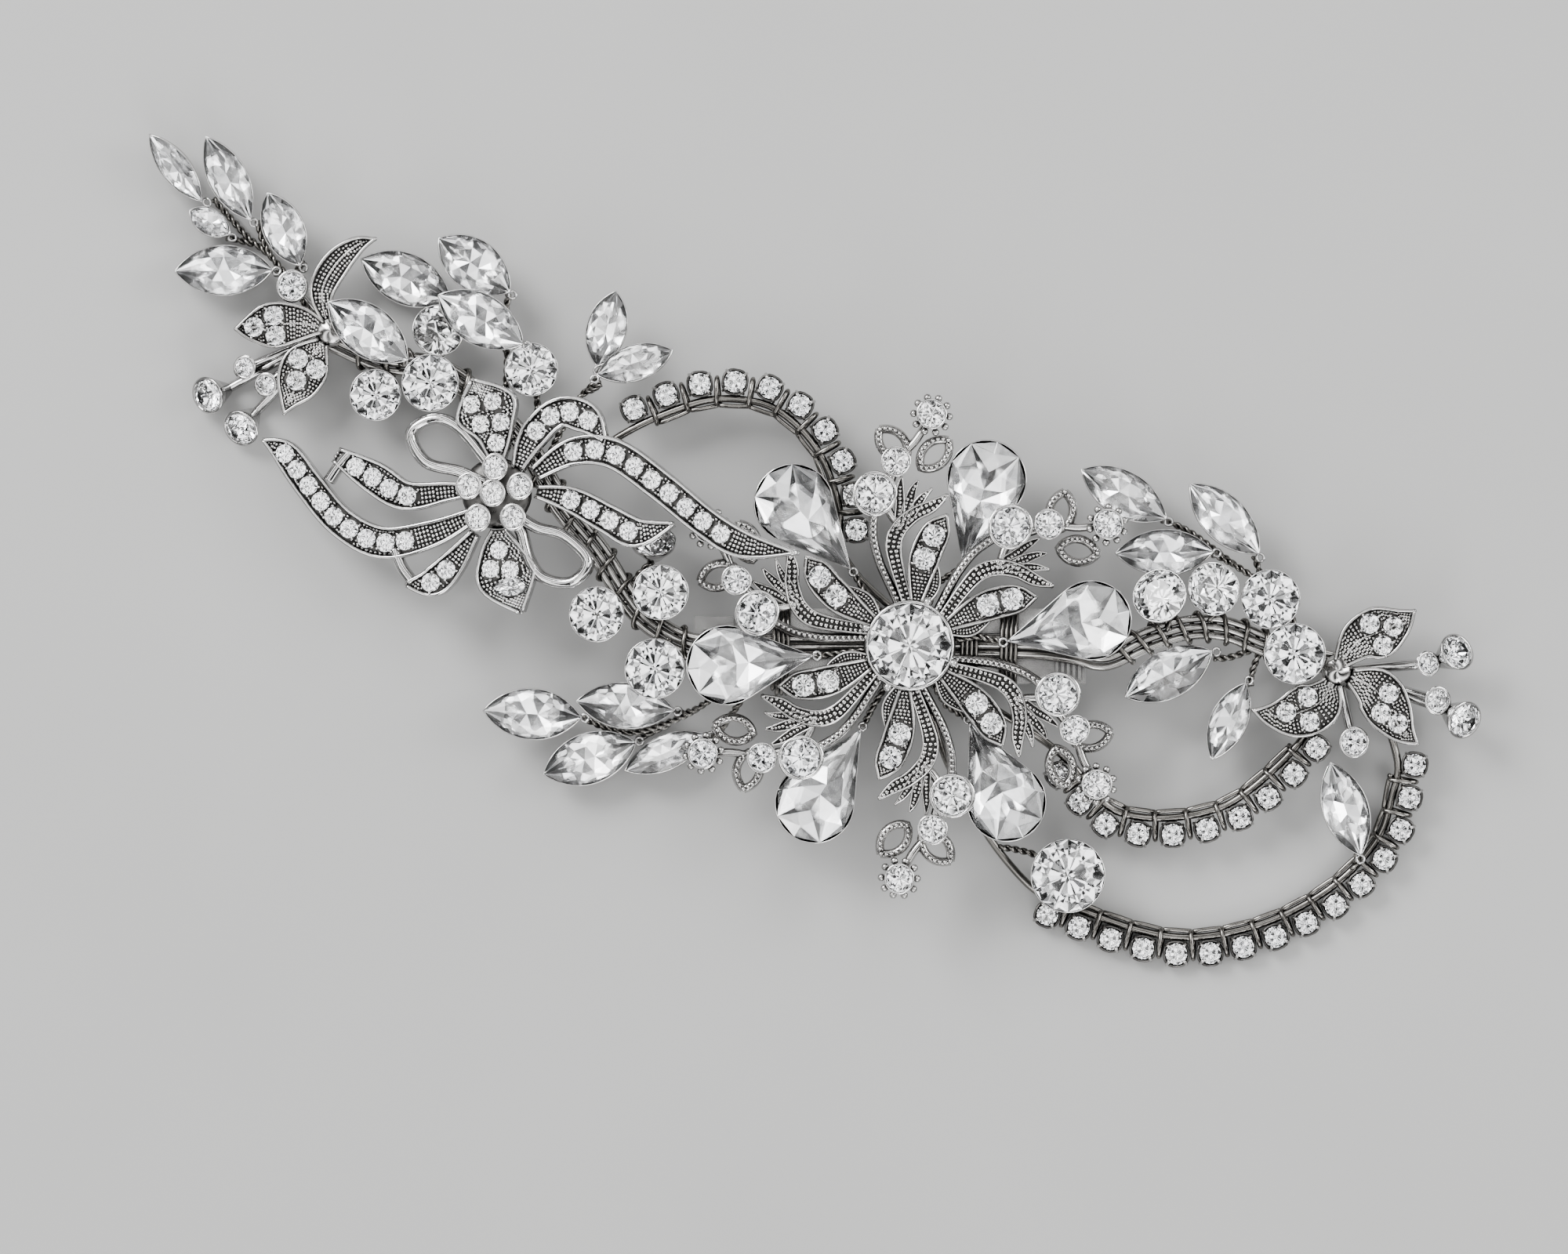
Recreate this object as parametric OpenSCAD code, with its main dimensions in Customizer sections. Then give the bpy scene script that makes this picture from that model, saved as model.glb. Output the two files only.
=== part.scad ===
// Bridal hair clip: a spray of castings, crystal stones and wire on a spring clip.
// X runs along the clip towards its hinge and Z is up, away from the hair.
// The origin is under the centre of the flower, on the underside of the closed arm.

/* [Clip] */
// Length of the spring clip
clip_len = 40; // [39:0.5:41]
// Width of the clip's top plate
clip_w = 8; // [7.6:0.1:9]
// Underside of the clip's top plate
clip_z = 7; // [6.8:0.1:7]
// Width of the clip's arm
arm_w = 6; // [5.6:0.1:6]
// Thickness of the clip's arm
arm_t = 0.8; // [0.7:0.1:0.8]
// Radius of the hinge rivet
rivet_r = 0.6; // [0.55:0.01:0.65]

/* [Stones] */
// Diameter of the centre stone
centre_d = 8.8; // [8:0.1:8.8]
// Length of a pear stone
pear_l = 13; // [12:0.5:13]
// Width of a pear stone
pear_w = 8; // [7:0.5:8]
// Length of a navette
navette_l = 10; // [9:0.5:10]
// Width of a navette
navette_w = 5; // [4:0.5:5]
// Diameter of a chain stone
chain_d = 2.3; // [2:0.1:2.3]
// Diameter of a ribbon stone
pave_d = 2; // [1.8:0.1:2]

/* [Metal] */
// Thickness of a setting's wall
wall = 0.3; // [0.25:0.05:0.3]
// Diameter of a stem wire
stem_d = 0.85; // [0.75:0.05:0.85]
// Diameter of a twisted pair of wires
twist_d = 0.65; // [0.6:0.05:0.7]
// Diameter of wrapping wire
wrap_d = 0.45; // [0.4:0.05:0.45]
// Thickness of a casting's floor
floor_h = 0.6; // [0.5:0.1:0.6]
// Height of a casting's raised rim
rim_h = 1.5; // [1.3:0.1:1.5]
// Width of a casting's raised rim
rim_w = 0.4; // [0.3:0.1:0.4]

/* [Hidden] */
$fn = 32;
metal = [0.72, 0.72, 0.74];
dark_metal = [0.36, 0.35, 0.35];
crystal = [0.92, 0.95, 0.98];
GAP = 0.03;

// Clip. It is a little left of the flower's centre.
clip_x = -1.25;
latch_x = clip_x - clip_len / 2;
hinge_x = clip_x + clip_len / 2;
plate_t = 0.8;
plate_top = clip_z + plate_t;
hinge_at = [hinge_x - 1.7, 0, 1.6];
ear_t = 0.6;
ear_in = clip_w / 2 - ear_t;
tongue_w = 4.4;
tongue_l = 3.2;
tab_y = 1.6;
tab_z = clip_z - 0.4;
tab_t = 0.4;
tab_x = latch_x + 0.6;
tab_l = 2;

// Flower. Each arm is placed by the direction of its bezel.
hub_z = 9.9;
hub_r = 5.2;
arm_dirs = [103, 50, -18, -74, 226, 168];
arm_mid = -12;
arm_droop = 4;
// Height of the posts that carry the arms' bezels
bezel_lift = 0.9;
arm_h = 0.9;
bezel_at = [16.3, 0];
small_at = [19.5, -8.8];
tip_at = [24.6, -18.5];
bezel_d = 4;
small_d = 2.8;
petal_d = 2.2;
// Position angle, own angle and height of each pear stone
pears = [[8, 14, 9.4], [65, 74, 6.7], [129, 131, 6.8], [186, 186, 9.4], [239, 238, 6.5], [302, 295, 6.5]];
pear_r = 19.4;
pear_depth = 4.2;

// Bow. Its plane rises towards the flower.
bow_at = [-43.75, 16.25, 8];
bow_rise = 10;
bow_cups = [[0, 0], [0.25, 2.75], [2.95, 0.7], [2.2, -2.6], [-1.6, -2.65], [-2.6, 0.75]];
bow_cup_d = 2.1;
// Centre line and width of each ribbon with a stone channel, then its first stone, number of stones and pitch
ribbons = [
    [[[-46, 14, 1.6], [-50.5, 12, 2.9], [-56, 11, 3.5], [-60.5, 13.2, 3.3], [-64, 17.2, 3.2],
      [-66.6, 20.6, 2.8], [-69, 22, 0.4]], 8, 9, 2.14],
    [[[-46.3, 16.6, 1.5], [-49, 16.4, 2.2], [-53.5, 16, 3.2], [-57, 18, 3.5], [-61, 20.4, 1.8]], 7, 4, 2.14],
    [[[-43.6, 19.8, 1.8], [-43.9, 22.6, 4.2], [-44.9, 25.4, 6.9], [-46.3, 28.3, 0.6]], 0, 0, 1],
    [[[-41.4, 18.8, 1.4], [-39.8, 22.2, 3], [-37, 24.8, 3.2], [-34, 24.2, 3.4], [-32, 21.9, 0.8]], 4.6, 4, 2.2],
    [[[-39.6, 18.2, 1.6], [-35.5, 20.6, 3], [-31, 20.4, 3.3], [-26, 17, 3.3], [-21, 13, 3.2],
      [-17, 10.7, 3], [-11.2, 9.8, 0.4]], 5, 9, 2.35],
    [[[-39.4, 16.4, 1.4], [-35.5, 15.5, 2.8], [-31.5, 13.4, 3.2], [-28.5, 12, 3.2], [-24.6, 12.9, 0.6]], 4, 4, 2.35],
    [[[-43.4, 12.4, 1.8], [-43.1, 9.8, 5], [-42.4, 7, 6.6], [-41, 3.6, 0.8]], 0, 0, 1],
    [[[-46, 12, 1.2], [-48.4, 8.8, 2.8], [-50.6, 6.8, 3.2], [-53.4, 6.6, 0.8]], 4.9, 2, 2.2]
];
// Extra stones set in the two wide petals
petal_spots = [
    [-43.6, 21.6], [-43.1, 23.8], [-45.3, 23.6], [-44, 26], [-46.3, 25.7],
    [-43.3, 10.2], [-44.2, 8.2], [-42.1, 8.1], [-43, 6.2], [-41.25, 6.35]
];
// Centre line and width of the two polished loops and the two small bars
loops = [
    [[-44.4, 19.2, 1.2], [-47.8, 23.2, 1.3], [-50.6, 24.2, 1.2], [-53, 22.6, 1.3], [-51.4, 19.6, 1.2],
     [-47.8, 18.6, 1.1], [-45.4, 17.6, 1]],
    [[-39.4, 12.6, 1.1], [-36.4, 11.7, 1.2], [-33.8, 9, 1.3], [-35.6, 6.8, 1.3], [-38.6, 7.2, 1.2],
     [-40.2, 9.2, 1.1], [-41, 12, 1]],
    [[-59.6, 20.6, 0.9], [-60.8, 19.2, 0.9], [-61.9, 17.6, 0.9]],
    [[-52.8, 6.8, 0.9], [-54, 8.4, 0.9], [-54.8, 10.4, 0.9]]
];

// Leaf castings: hub, centre line and width of each leaf, and the places of its stones
left_hub = [-61.6, 33.6, 4.4];
left_leaves = [
    [[-62, 34.6, 1.2], [-62.5, 37.8, 2.8], [-61, 40.7, 3.1], [-58.8, 42.7, 2], [-56.8, 43.4, 0.3]],
    [[-62.4, 34, 1.5], [-65, 34.4, 4], [-68, 34.2, 4.9], [-70.2, 33.9, 2.8], [-71.7, 33.8, 0.3]],
    [[-62.4, 32.4, 1.5], [-64, 30.2, 5], [-65.2, 27.8, 4.6], [-66, 26.1, 2.2], [-66.5, 24.8, 0.3]]
];
left_spots = [[-67.6, 35.2], [-69.7, 34], [-67.4, 33.1], [-65, 30.6], [-63.1, 29.5], [-65.2, 28.3]];
right_hub = [45.6, -2.6, 5];
right_leaves = [
    [[45.8, -1.8, 1.6], [47.9, 0.6, 4.6], [50.2, 1.6, 5.6], [52.2, 2.6, 3.4], [53.8, 3.8, 0.3]],
    [[45, -3.8, 2], [43.6, -6, 5.4], [41, -7.2, 5.2], [38.6, -7.3, 2.8], [36.6, -6.8, 0.3]],
    [[47, -3.2, 1.8], [49.6, -4.6, 5], [51.1, -6.9, 5], [52.5, -9, 3], [54.1, -10.4, 0.3]]
];
right_spots = [
    [49, 2.4], [51.5, 2.1], [50.4, 0.1], [42.4, -5.4], [40.1, -7], [42.6, -8],
    [51, -5], [50.2, -7.1], [52, -8.2]
];
// Stamens: height, diameter, lean direction and lean of each cup, after its place
left_buds = [[-65.7, 38.4, 2.6, 2.8, 0, 0], [-70.4, 29.9, 2.6, 1.9, 200, 20], [-68.2, 28.2, 2.6, 1.9, 220, 20],
             [-73.6, 27.2, 1.6, 3.4, 200, 40], [-70.4, 24.2, 1.6, 3.5, 230, 40]];
right_buds = [[47.4, -10.2, 3.4, 2.6, 0, 0], [54.8, -1.9, 5.2, 2, 10, 20], [55.8, -5.6, 4.6, 2.4, 340, 20],
              [57.2, -1.2, 5, 3.5, 30, 40], [58, -7.2, 4.2, 3.6, 330, 40]];

// Cup chains: control points, number of stones, side of the backing wire, and its two end routes
cup_w = 2.6;
cup_h = 1.7;
upper_chain = [[[-29.3, 25.3, 4], [-21.9, 28, 4.4], [-14.2, 27.3, 4.8], [-8.5, 22.4, 4.9], [-5.8, 15.8, 4.8],
                [-5.6, 12.4, 4.7]], 10, -1, [[-34, 20, 4.8], [-31.4, 22, 4.6]],
               [[-7.1, 10, 5.2], [-5.2, 7.2, 5.9], [-2.2, 4.4, 8.8], [-1.2, 3.4, 9.6]]];
inner_chain = [[[15.9, -13.7, 4.6], [20.6, -18.8, 3.4], [27.3, -20.1, 2.6], [34.9, -18.4, 2.6],
                [41, -13.6, 3], [43.4, -10.8, 3.2]], 10, 1,
               [[3.3, -2.3, 9.6], [5.4, -3.8, 9], [9, -6.6, 7.8], [14, -9.8, 6]],
               [[43.2, -7.4, 4], [44.8, -4.2, 4.1]]];
outer_chain = [[[14.8, -28.6, 0.2], [22.1, -31.4, 0.2], [28.6, -32.8, 0.2], [35, -32.2, 0.2], [41.6, -29.9, 0.3],
                [47.8, -25.8, 0.7], [52.3, -20, 1.2], [53.9, -12.6, 2.4]], 15, 1,
               [[1.4, -4.2, 9.6], [2.6, -8, 7.8], [4.4, -13, 5.6], [8.6, -20.4, 3.6], [12.8, -25.4, 1.6]],
               [[50, -6.4, 3.8], [46.6, -4, 4.2]]];

// Main stem of parallel wires, and where its wrapping wire starts and how many turns it has
stem_count = 3;
stem_pitch = 0.9;
stem_path = [[-62, 33, 3.6], [-56, 30.4, 3.4], [-51, 29.8, 3.4], [-46.5, 27.2, 4], [-41, 21.6, 5],
             [-37, 15, 5.4], [-33, 10, 5.8], [-29, 3.9, 6.4], [-24, 0.4, 7.8], [-20, 0, 8.3], [-12, 0, 8.3],
             [0, 0, 8.3], [12, 0, 8.4], [17.5, -0.6, 8.6], [21, -1.3, 8.1], [25.5, 0.8, 6.8], [30, 2, 5.8],
             [34, 1.8, 5], [38.5, 0, 4.4], [46, -2, 4.4]];

// Navettes: place of the setting's base, angle, length share, width share, lean direction, lean
tip_navettes = [[-77.4, 51.6, 1.6, -52, 0.86, 0.6, 218, 25], [-72.1, 50.1, 2.2, -62, 0.96, 0.76, 207, 12],
                [-66.1, 44.7, 2.4, -66, 0.8, 0.82, 206, 14], [-73, 39.8, 1.2, 1, 1, 1, 90, 8],
                [-74.8, 44.8, 0.8, -30, 0.45, 0.5, 60, 15]];
upper_navettes = [[-57.5, 33.5, 6, -36, 1, 1, 0, 0], [-53.6, 39.2, 1, -24, 1, 1, 0, 0],
                  [-46.4, 40.4, 3.6, -37, 0.9, 1, 53, 6], [-45.4, 34.9, 6.4, -30, 1, 1, 240, 6],
                  [-31.8, 33.7, 4, 76, 0.78, 0.78, 166, 10], [-28.9, 29.4, 6.4, 18, 0.8, 0.72, 108, 20]];
lower_navettes = [[-40.1, -7.2, 2.6, -4, 1, 1, 0, 0], [-30.2, -6.6, 3.4, -5, 1, 0.9, 85, 8],
                  [-34, -11.9, 1.4, 19, 1, 1, 0, 0], [-25.6, -12, 1.4, 24, 0.9, 0.7, 114, 20]];
right_navettes = [[22.7, 15.9, 3, -30, 1, 0.9, 60, 10], [33.2, 13.2, 4, -45, 1, 0.9, 45, 14],
                  [27.2, 9.7, 3.4, 1, 1, 0.9, 90, 8], [28, -3.6, 3.6, 28, 1, 1, 118, 20],
                  [34.6, -8.2, 2.8, 66, 0.85, 0.72, 156, 16], [46.2, -17.4, 2.2, -72, 1, 0.9, 18, 8]];
// Round stones: place of the cup's base, diameter, lean direction, lean
rounds = [[-50.4, 33.2, 2, 5, 60, 12], [-56.8, 26.8, 2, 5, 0, 0], [-50.9, 28, 4.8, 5.6, 0, 0],
          [-40.2, 29.5, 2.4, 5.2, 0, 0], [-33.2, 3.4, 5.4, 5.4, 0, 0], [-26.4, 5.7, 7.4, 5.4, 0, 0],
          [-27.2, 9.4, 4.4, 4.4, 90, 50], [-27, -2.4, 8, 5.9, 0, 0],
          [27.3, 4.6, 7.2, 5.3, 135, 22], [33.2, 6.4, 6.4, 5.2, 200, 20], [38.4, 5, 5.2, 5.8, 0, 0],
          [40.9, -0.8, 6.8, 6, 0, 0], [16.9, -24.4, 2.6, 7.4, 0, 0]];

// Twisted wires, each from its stone or group to the stem
tip_wires = [[[-74.2, 47.8, 0.9], [-72.4, 45.8, 0.8], [-70.4, 43.6, 1.2], [-68, 41.6, 1.9], [-65.6, 38.4, 2],
              [-63.4, 35, 3], [-62, 33.4, 3.8]],
             [[-69.4, 45.4, 1.8], [-69, 43.6, 1.8], [-68, 41.6, 2]],
             [[-64.4, 41, 2], [-65.4, 40, 2], [-65.8, 38.8, 2]],
             [[-67.6, 39.9, 1.5], [-66.6, 39.4, 1.8], [-65.8, 38.8, 2]],
             [[-72.8, 43.7, 1], [-71.4, 43.4, 1.1], [-70, 43, 1.4]]];
upper_wires = [[[-53.7, 30.6, 6], [-53.8, 30.4, 4.8], [-54.2, 30.2, 3.8]],
               [[-48.6, 37.2, 1.5], [-46.4, 36.2, 1.4], [-44, 35.4, 2], [-43, 33.6, 3], [-42.8, 30.4, 3.2],
                [-43, 27, 3.6], [-43.4, 24.6, 4.4]],
               [[-42.7, 37.6, 3.6], [-42.9, 36.2, 3], [-43.3, 34.8, 2.6]],
               [[-41.4, 32.6, 6], [-42.6, 32.8, 4.6], [-43.1, 31.6, 3.3]],
               [[-32.7, 30, 4], [-33.4, 28.2, 4], [-35.4, 26, 4.2], [-38, 21, 5], [-39, 18.6, 5.2]],
               [[-32.8, 28, 6.2], [-33.6, 27.4, 5.2], [-34.3, 27.2, 4.2]]];
lower_wires = [[[-34.8, -7.6, 2.9], [-30, -9.2, 2.6], [-24.4, -7.6, 4.4], [-20.4, -5.2, 7.4], [-16.4, -2.6, 8.3]],
               [[-28.9, -9.9, 1.8], [-27.4, -9.1, 2.6], [-25.4, -8.2, 3.6]],
               [[-25, -7.1, 3.8], [-23.6, -7, 4.6], [-22.4, -6.6, 5.8]],
               [[-21.2, -9.9, 2], [-20, -8.8, 4.2], [-17.6, -5.4, 7.8], [-15.6, -2.8, 8.6]]];
right_wires = [[[27, 13.5, 3.2], [30, 12.2, 2.6], [34.6, 8.8, 3.4], [37.8, 6.6, 4], [40.4, 3.8, 4.2],
                [41.6, 0.6, 4.2]],
               [[36.8, 9.6, 4.4], [37.2, 8.4, 4.2], [37.8, 6.6, 4]],
               [[32.4, 9.8, 3.7], [33.4, 9.4, 3.6], [34.6, 8.8, 3.8]],
               [[32.5, -1.2, 4.2], [34, -1.2, 4.2], [36.4, -0.4, 4.4]],
               [[36.4, -4.2, 3.2], [36.6, -2.6, 3.8], [37.4, -0.4, 4.4]],
               [[47.8, -22.2, 2.3], [47.7, -23, 2], [47.2, -24, 1.6]]];
round_wires = [[[-50.4, 33, 2.2], [-50.6, 32, 2.6], [-50.8, 30.8, 3.2]],
               [[-56.6, 27.2, 2.4], [-56.4, 28.8, 2.8], [-56, 30, 3.3]],
               [[-50.9, 28, 5], [-50.9, 28.6, 4.4], [-51, 29.2, 3.8]],
               [[-40.2, 29.5, 2.6], [-39.6, 26.4, 3], [-39.6, 22.4, 4.2], [-40.2, 21, 4.8]],
               [[-33.2, 3.4, 5.6], [-31.4, 4.2, 5.8], [-29.6, 4.8, 6.2]],
               [[-26.4, 5.7, 7.6], [-27.2, 4.6, 7], [-28.4, 3.8, 6.7]],
               [[-27.2, 9.2, 4.5], [-28.8, 7.6, 5], [-30, 5.6, 6]],
               [[-27, -2.4, 8.2], [-26.4, -1, 7.8], [-25.4, 0.8, 7.4]],
               [[27.3, 4.6, 7.4], [27.4, 3.2, 7], [27.6, 1.6, 6.6]],
               [[33.2, 6.4, 6.5], [32.6, 4.4, 6], [32, 2.6, 5.6]],
               [[38.4, 5, 5.4], [39, 3.4, 5], [39.4, 0.4, 4.6]],
               [[40.9, -0.8, 7], [40.8, -0.8, 6], [40.6, -0.8, 4.6]],
               [[16.9, -24.4, 2.8], [13, -22, 3.2], [9.6, -21.4, 3.5]]];

// Vectors and curves
function unit(v) = v / norm(v);
function flat(p) = [p[0], p[1]];
function polar(at) = [at[0] * cos(at[1]), at[0] * sin(at[1])];
function spline(p, n) = [
    for (i = [0 : len(p) - 2], k = [0 : n - 1])
        let (t = k / n, a = p[max(i - 1, 0)], b = p[i], c = p[i + 1], d = p[min(i + 2, len(p) - 1)])
        0.5 * (2 * b + (c - a) * t + (2 * a - 5 * b + 4 * c - d) * t * t + (3 * b - a - 3 * c + d) * t * t * t),
    p[len(p) - 1]
];
function heading(p, i) = unit(p[min(i + 1, len(p) - 1)] - p[max(i - 1, 0)]);
function length_of(p, i = 0) = i > len(p) - 2 ? 0 : norm(p[i + 1] - p[i]) + length_of(p, i + 1);
// The point and heading at a distance s along a path
function station(p, s, i = 0) =
    let (step = norm(p[i + 1] - p[i]))
    i >= len(p) - 2 || s <= step
        ? [p[i] + (p[i + 1] - p[i]) * s / step, unit(p[i + 1] - p[i])]
        : station(p, s - step, i + 1);
function left_of(t) = unit([-t[1], t[0], 0]);
function above(t) = cross(t, left_of(t));
function ring(p, t, r, n) = [
    for (k = [0 : n - 1])
        p + r * (cos(360 * k / n) * left_of(t) + sin(360 * k / n) * above(t))
];
// A path that winds round another one: offset a sideways and b upwards for every angle
function coil(path, s0, s1, turns, a, b, per_turn = 8) = [
    for (k = [0 : turns * per_turn])
        let (at = station(path, s0 + (s1 - s0) * k / (turns * per_turn)), w = 360 * k / per_turn)
        at[0] + a * cos(w) * left_of(at[1]) + b * sin(w) * above(at[1])
];

// A round wire along a path. A steep path turns its rings by their own headings.
module tube(path, d, n = 6) {
    m = len(path);
    points = [for (i = [0 : m - 1]) each ring(path[i], heading(path, i), d / 2, n)];
    sides = [
        for (i = [0 : m - 2], k = [0 : n - 1])
            let (a = i * n + k, b = i * n + (k + 1) % n)
            each [[a, a + n, b + n], [a, b + n, b]]
    ];
    first = [for (k = [0 : n - 1]) k];
    last = [for (k = [n - 1 : -1 : 0]) (m - 1) * n + k];
    polyhedron(points, concat([first], sides, [last]));
}

// Places something made about the origin, leaning by an angle towards a direction
module leaning(at, towards, lean) {
    translate([at[0], at[1], at[2]])
        rotate([0, 0, towards])
            rotate([0, lean, 0])
                rotate([0, 0, -towards])
                    children();
}

// The outline of a blade whose centre line holds [x, y, width]
function blade_side(p, side, inset) = [
    for (i = [0 : len(p) - 1])
        let (t = unit(flat(p[min(i + 1, len(p) - 1)]) - flat(p[max(i - 1, 0)])))
        flat(p[i]) + side * max(p[i][2] / 2 - inset, 0.03) * [-t[1], t[0]]
];
function reversed(p) = [for (i = [len(p) - 1 : -1 : 0]) p[i]];
function blade(p, inset = 0) = concat(blade_side(p, 1, inset), reversed(blade_side(p, -1, inset)));
function middle(p, cut) = [for (i = [cut : len(p) - 1 - cut]) p[i]];

// A flat blade with a raised rim round a channel for stones
module channel(path, n = 4) {
    line = spline(path, n);
    difference() {
        linear_extrude(rim_h) polygon(blade(line));
        translate([0, 0, floor_h])
            linear_extrude(rim_h) polygon(blade(middle(line, 1), rim_w));
    }
}
module strip(path, h, n = 4) {
    linear_extrude(h) polygon(blade(spline(path, n)));
}

// Stones. Each stands on its point, with its table up.
function pavilion_h(d) = 0.38 * d;
function girdle_h(d) = 0.1 * d;
function crown_h(d) = 0.15 * d;
module round_stone(d) {
    rotate_extrude($fn = 24)
        polygon([
            [0, 0], [d / 2, pavilion_h(d)], [d / 2, pavilion_h(d) + girdle_h(d)],
            [d * 0.29, pavilion_h(d) + girdle_h(d) + crown_h(d)],
            [0, pavilion_h(d) + girdle_h(d) + crown_h(d)]
        ]);
}
// A cup whose cone follows the stone's, with its base at z = 0. The stone stands at seat_z.
seat_z = 0.4;
module round_cup(d) {
    r = d / 2;
    top = seat_z + pavilion_h(d);
    rotate_extrude($fn = 24)
        polygon([
            [0, 0], [0.3 * r, 0], [r + wall, top - 0.1], [r + wall, top + 0.8 * girdle_h(d)],
            [r + GAP, top + 0.8 * girdle_h(d)], [r + GAP, top - GAP], [0, seat_z - GAP - 0.05]
        ]);
}
// A stone with any outline: point, girdle and table are rings of the same outline
module shaped_stone(outline, keel, d) {
    n = len(outline);
    z = [0, pavilion_h(d), pavilion_h(d) + girdle_h(d), pavilion_h(d) + girdle_h(d) + crown_h(d)];
    share = [keel, 1, 1, 0.62];
    points = [for (j = [0 : 3], p = outline) [p[0] * share[j], p[1] * share[j], z[j]]];
    sides = [
        for (j = [0 : 2], k = [0 : n - 1])
            [j * n + k, (j + 1) * n + k, (j + 1) * n + (k + 1) % n, j * n + (k + 1) % n]
    ];
    bottom = [for (k = [0 : n - 1]) k];
    table = [for (k = [n - 1 : -1 : 0]) 3 * n + k];
    polyhedron(points, concat([bottom], sides, [table]));
}
// A tray that holds a shaped stone up to its girdle
module shaped_setting(outline_out, outline_in, d) {
    difference() {
        linear_extrude(seat_z + pavilion_h(d) + 0.8 * girdle_h(d)) polygon(outline_out);
        translate([0, 0, seat_z - GAP])
            linear_extrude(10) polygon(outline_in);
    }
}
// A navette's outline: two equal arcs that meet in points
function navette(l, w, grow = 0) =
    let (a = l / 2 + 1.4 * grow, b = w / 2 + grow, r = (a * a + b * b) / (2 * b), half = asin(a / r))
    concat(
        [for (k = [-3 : 3]) [r * sin(half * k / 3.0), r * cos(half * k / 3.0) - r + b]],
        [for (k = [2 : -1 : -2]) [r * sin(half * k / 3.0), r - b - r * cos(half * k / 3.0)]]
    );
// A pear's outline: an arc round the lobe's centre, and a point towards -X
function pear(l, w, grow = 0) =
    let (r = w / 2 + grow, reach = l - w / 2 + 1.5 * grow, meet = acos(r / reach))
    concat(
        [for (k = [-5 : 5]) let (a = (180 - meet) * k / 5.0) [r * cos(a), r * sin(a)]],
        [[-reach, 0]]
    );

// Stones and settings for a list of navettes
module navette_place(item) {
    leaning(item, item[6], item[7])
        rotate([0, 0, item[3]])
            children();
}
module navette_stones(items) {
    for (item = items)
        navette_place(item)
            translate([0, 0, seat_z])
                shaped_stone(reversed(navette(item[4] * navette_l, item[5] * navette_w)), 0.3, 4.2);
}
module navette_settings(items) {
    for (item = items)
        navette_place(item)
            shaped_setting(
                navette(item[4] * navette_l, item[5] * navette_w, wall),
                navette(item[4] * navette_l, item[5] * navette_w, GAP), 4.2);
}

// Places for the flower's arms. Polar places count from the bezel's direction.
module arm_frame(direction) {
    rotate([0, 0, direction + arm_mid])
        translate([hub_r, 0, hub_z])
            rotate([0, arm_droop, 0])
                translate([-hub_r, 0, 0])
                    rotate([0, 0, -arm_mid])
                        children();
}
module pear_frame(place) {
    translate([pear_r * cos(place[0]), pear_r * sin(place[0]), place[2]])
        rotate([0, 0, place[1]])
            rotate([0, 2, 0])
                children();
}
module bow_frame() {
    translate(bow_at)
        rotate([0, -bow_rise, 0])
            translate([-bow_at[0], -bow_at[1], 0])
                children();
}

// Chains
function chain_line(chain) = spline(chain[0], 6);
function chain_s(chain, k) = length_of(chain_line(chain)) * k / (chain[1] - 1);
function wire_side(chain) =
    let (line = chain_line(chain), side = chain[2] * (cup_w / 2 + stem_d / 2 + 0.1))
    [for (i = [0 : len(line) - 1]) line[i] + side * left_of(heading(line, i)) + [0, 0, 0.8]];
module at_chain_stone(chain, k) {
    spot = station(chain_line(chain), chain_s(chain, k));
    translate(spot[0])
        rotate([0, 0, atan2(spot[1][1], spot[1][0])])
            children();
}
module chain_cups(chain) {
    for (k = [0 : chain[1] - 1])
        at_chain_stone(chain, k)
            difference() {
                translate([-cup_w / 2, -cup_w / 2, 0])
                    cube([cup_w, cup_w, cup_h]);
                translate([0, 0, seat_z])
                    cylinder(d = chain_d + 0.06, h = cup_h);
            }
}
module chain_stones(chain) {
    for (k = [0 : chain[1] - 1])
        at_chain_stone(chain, k)
            translate([0, 0, seat_z + 0.1])
                round_stone(chain_d);
}
module chain_wire(chain) {
    tube(spline(concat(chain[3], [for (i = [0 : 3 : len(wire_side(chain)) - 1]) wire_side(chain)[i]],
                       chain[4]), 2), stem_d);
}
// One turn of wire round the backing wire in each gap between cups
module chain_wrap(chain) {
    line = chain_line(chain);
    pitch = chain_s(chain, 1);
    out = cup_w / 2 + stem_d + 0.1 + wrap_d / 2;
    reach = (out + 0.5) / 2;
    path = [
        for (j = [0 : chain[1] - 2], k = [0 : 10])
            let (spot = station(line, pitch * (j + 0.5 + 0.014 * (k - 5))), w = 36 * k)
            spot[0] + chain[2] * (out - reach + reach * cos(w)) * left_of(spot[1])
                + [0, 0, 0.82 + 0.7 * sin(w)]
    ];
    tube(path, wrap_d, 4);
}

// The clip
module barrette_base() {
    color(metal) {
        translate([latch_x + tongue_l, -clip_w / 2, clip_z])
            cube([clip_len - tongue_l, clip_w, plate_t]);
        translate([latch_x, -tongue_w / 2, clip_z])
            cube([tongue_l + 1, tongue_w, plate_t]);
        for (k = [0 : 4])
            translate([hinge_x - 3.2 + 0.6 * k, -clip_w / 2 + 0.4, plate_top - 0.1])
                cube([0.3, clip_w - 0.8, 0.35]);
        for (side = [-1, 1])
            difference() {
                translate([hinge_at[0] - 1.4, side > 0 ? ear_in : -clip_w / 2, hinge_at[2] - 1.2])
                    cube([2.8, ear_t, clip_z - hinge_at[2] + 1.3]);
                translate(hinge_at)
                    rotate([90, 0, 0])
                        cylinder(r = rivet_r + 0.02, h = clip_w + 2, center = true);
            }
    }
}
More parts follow.
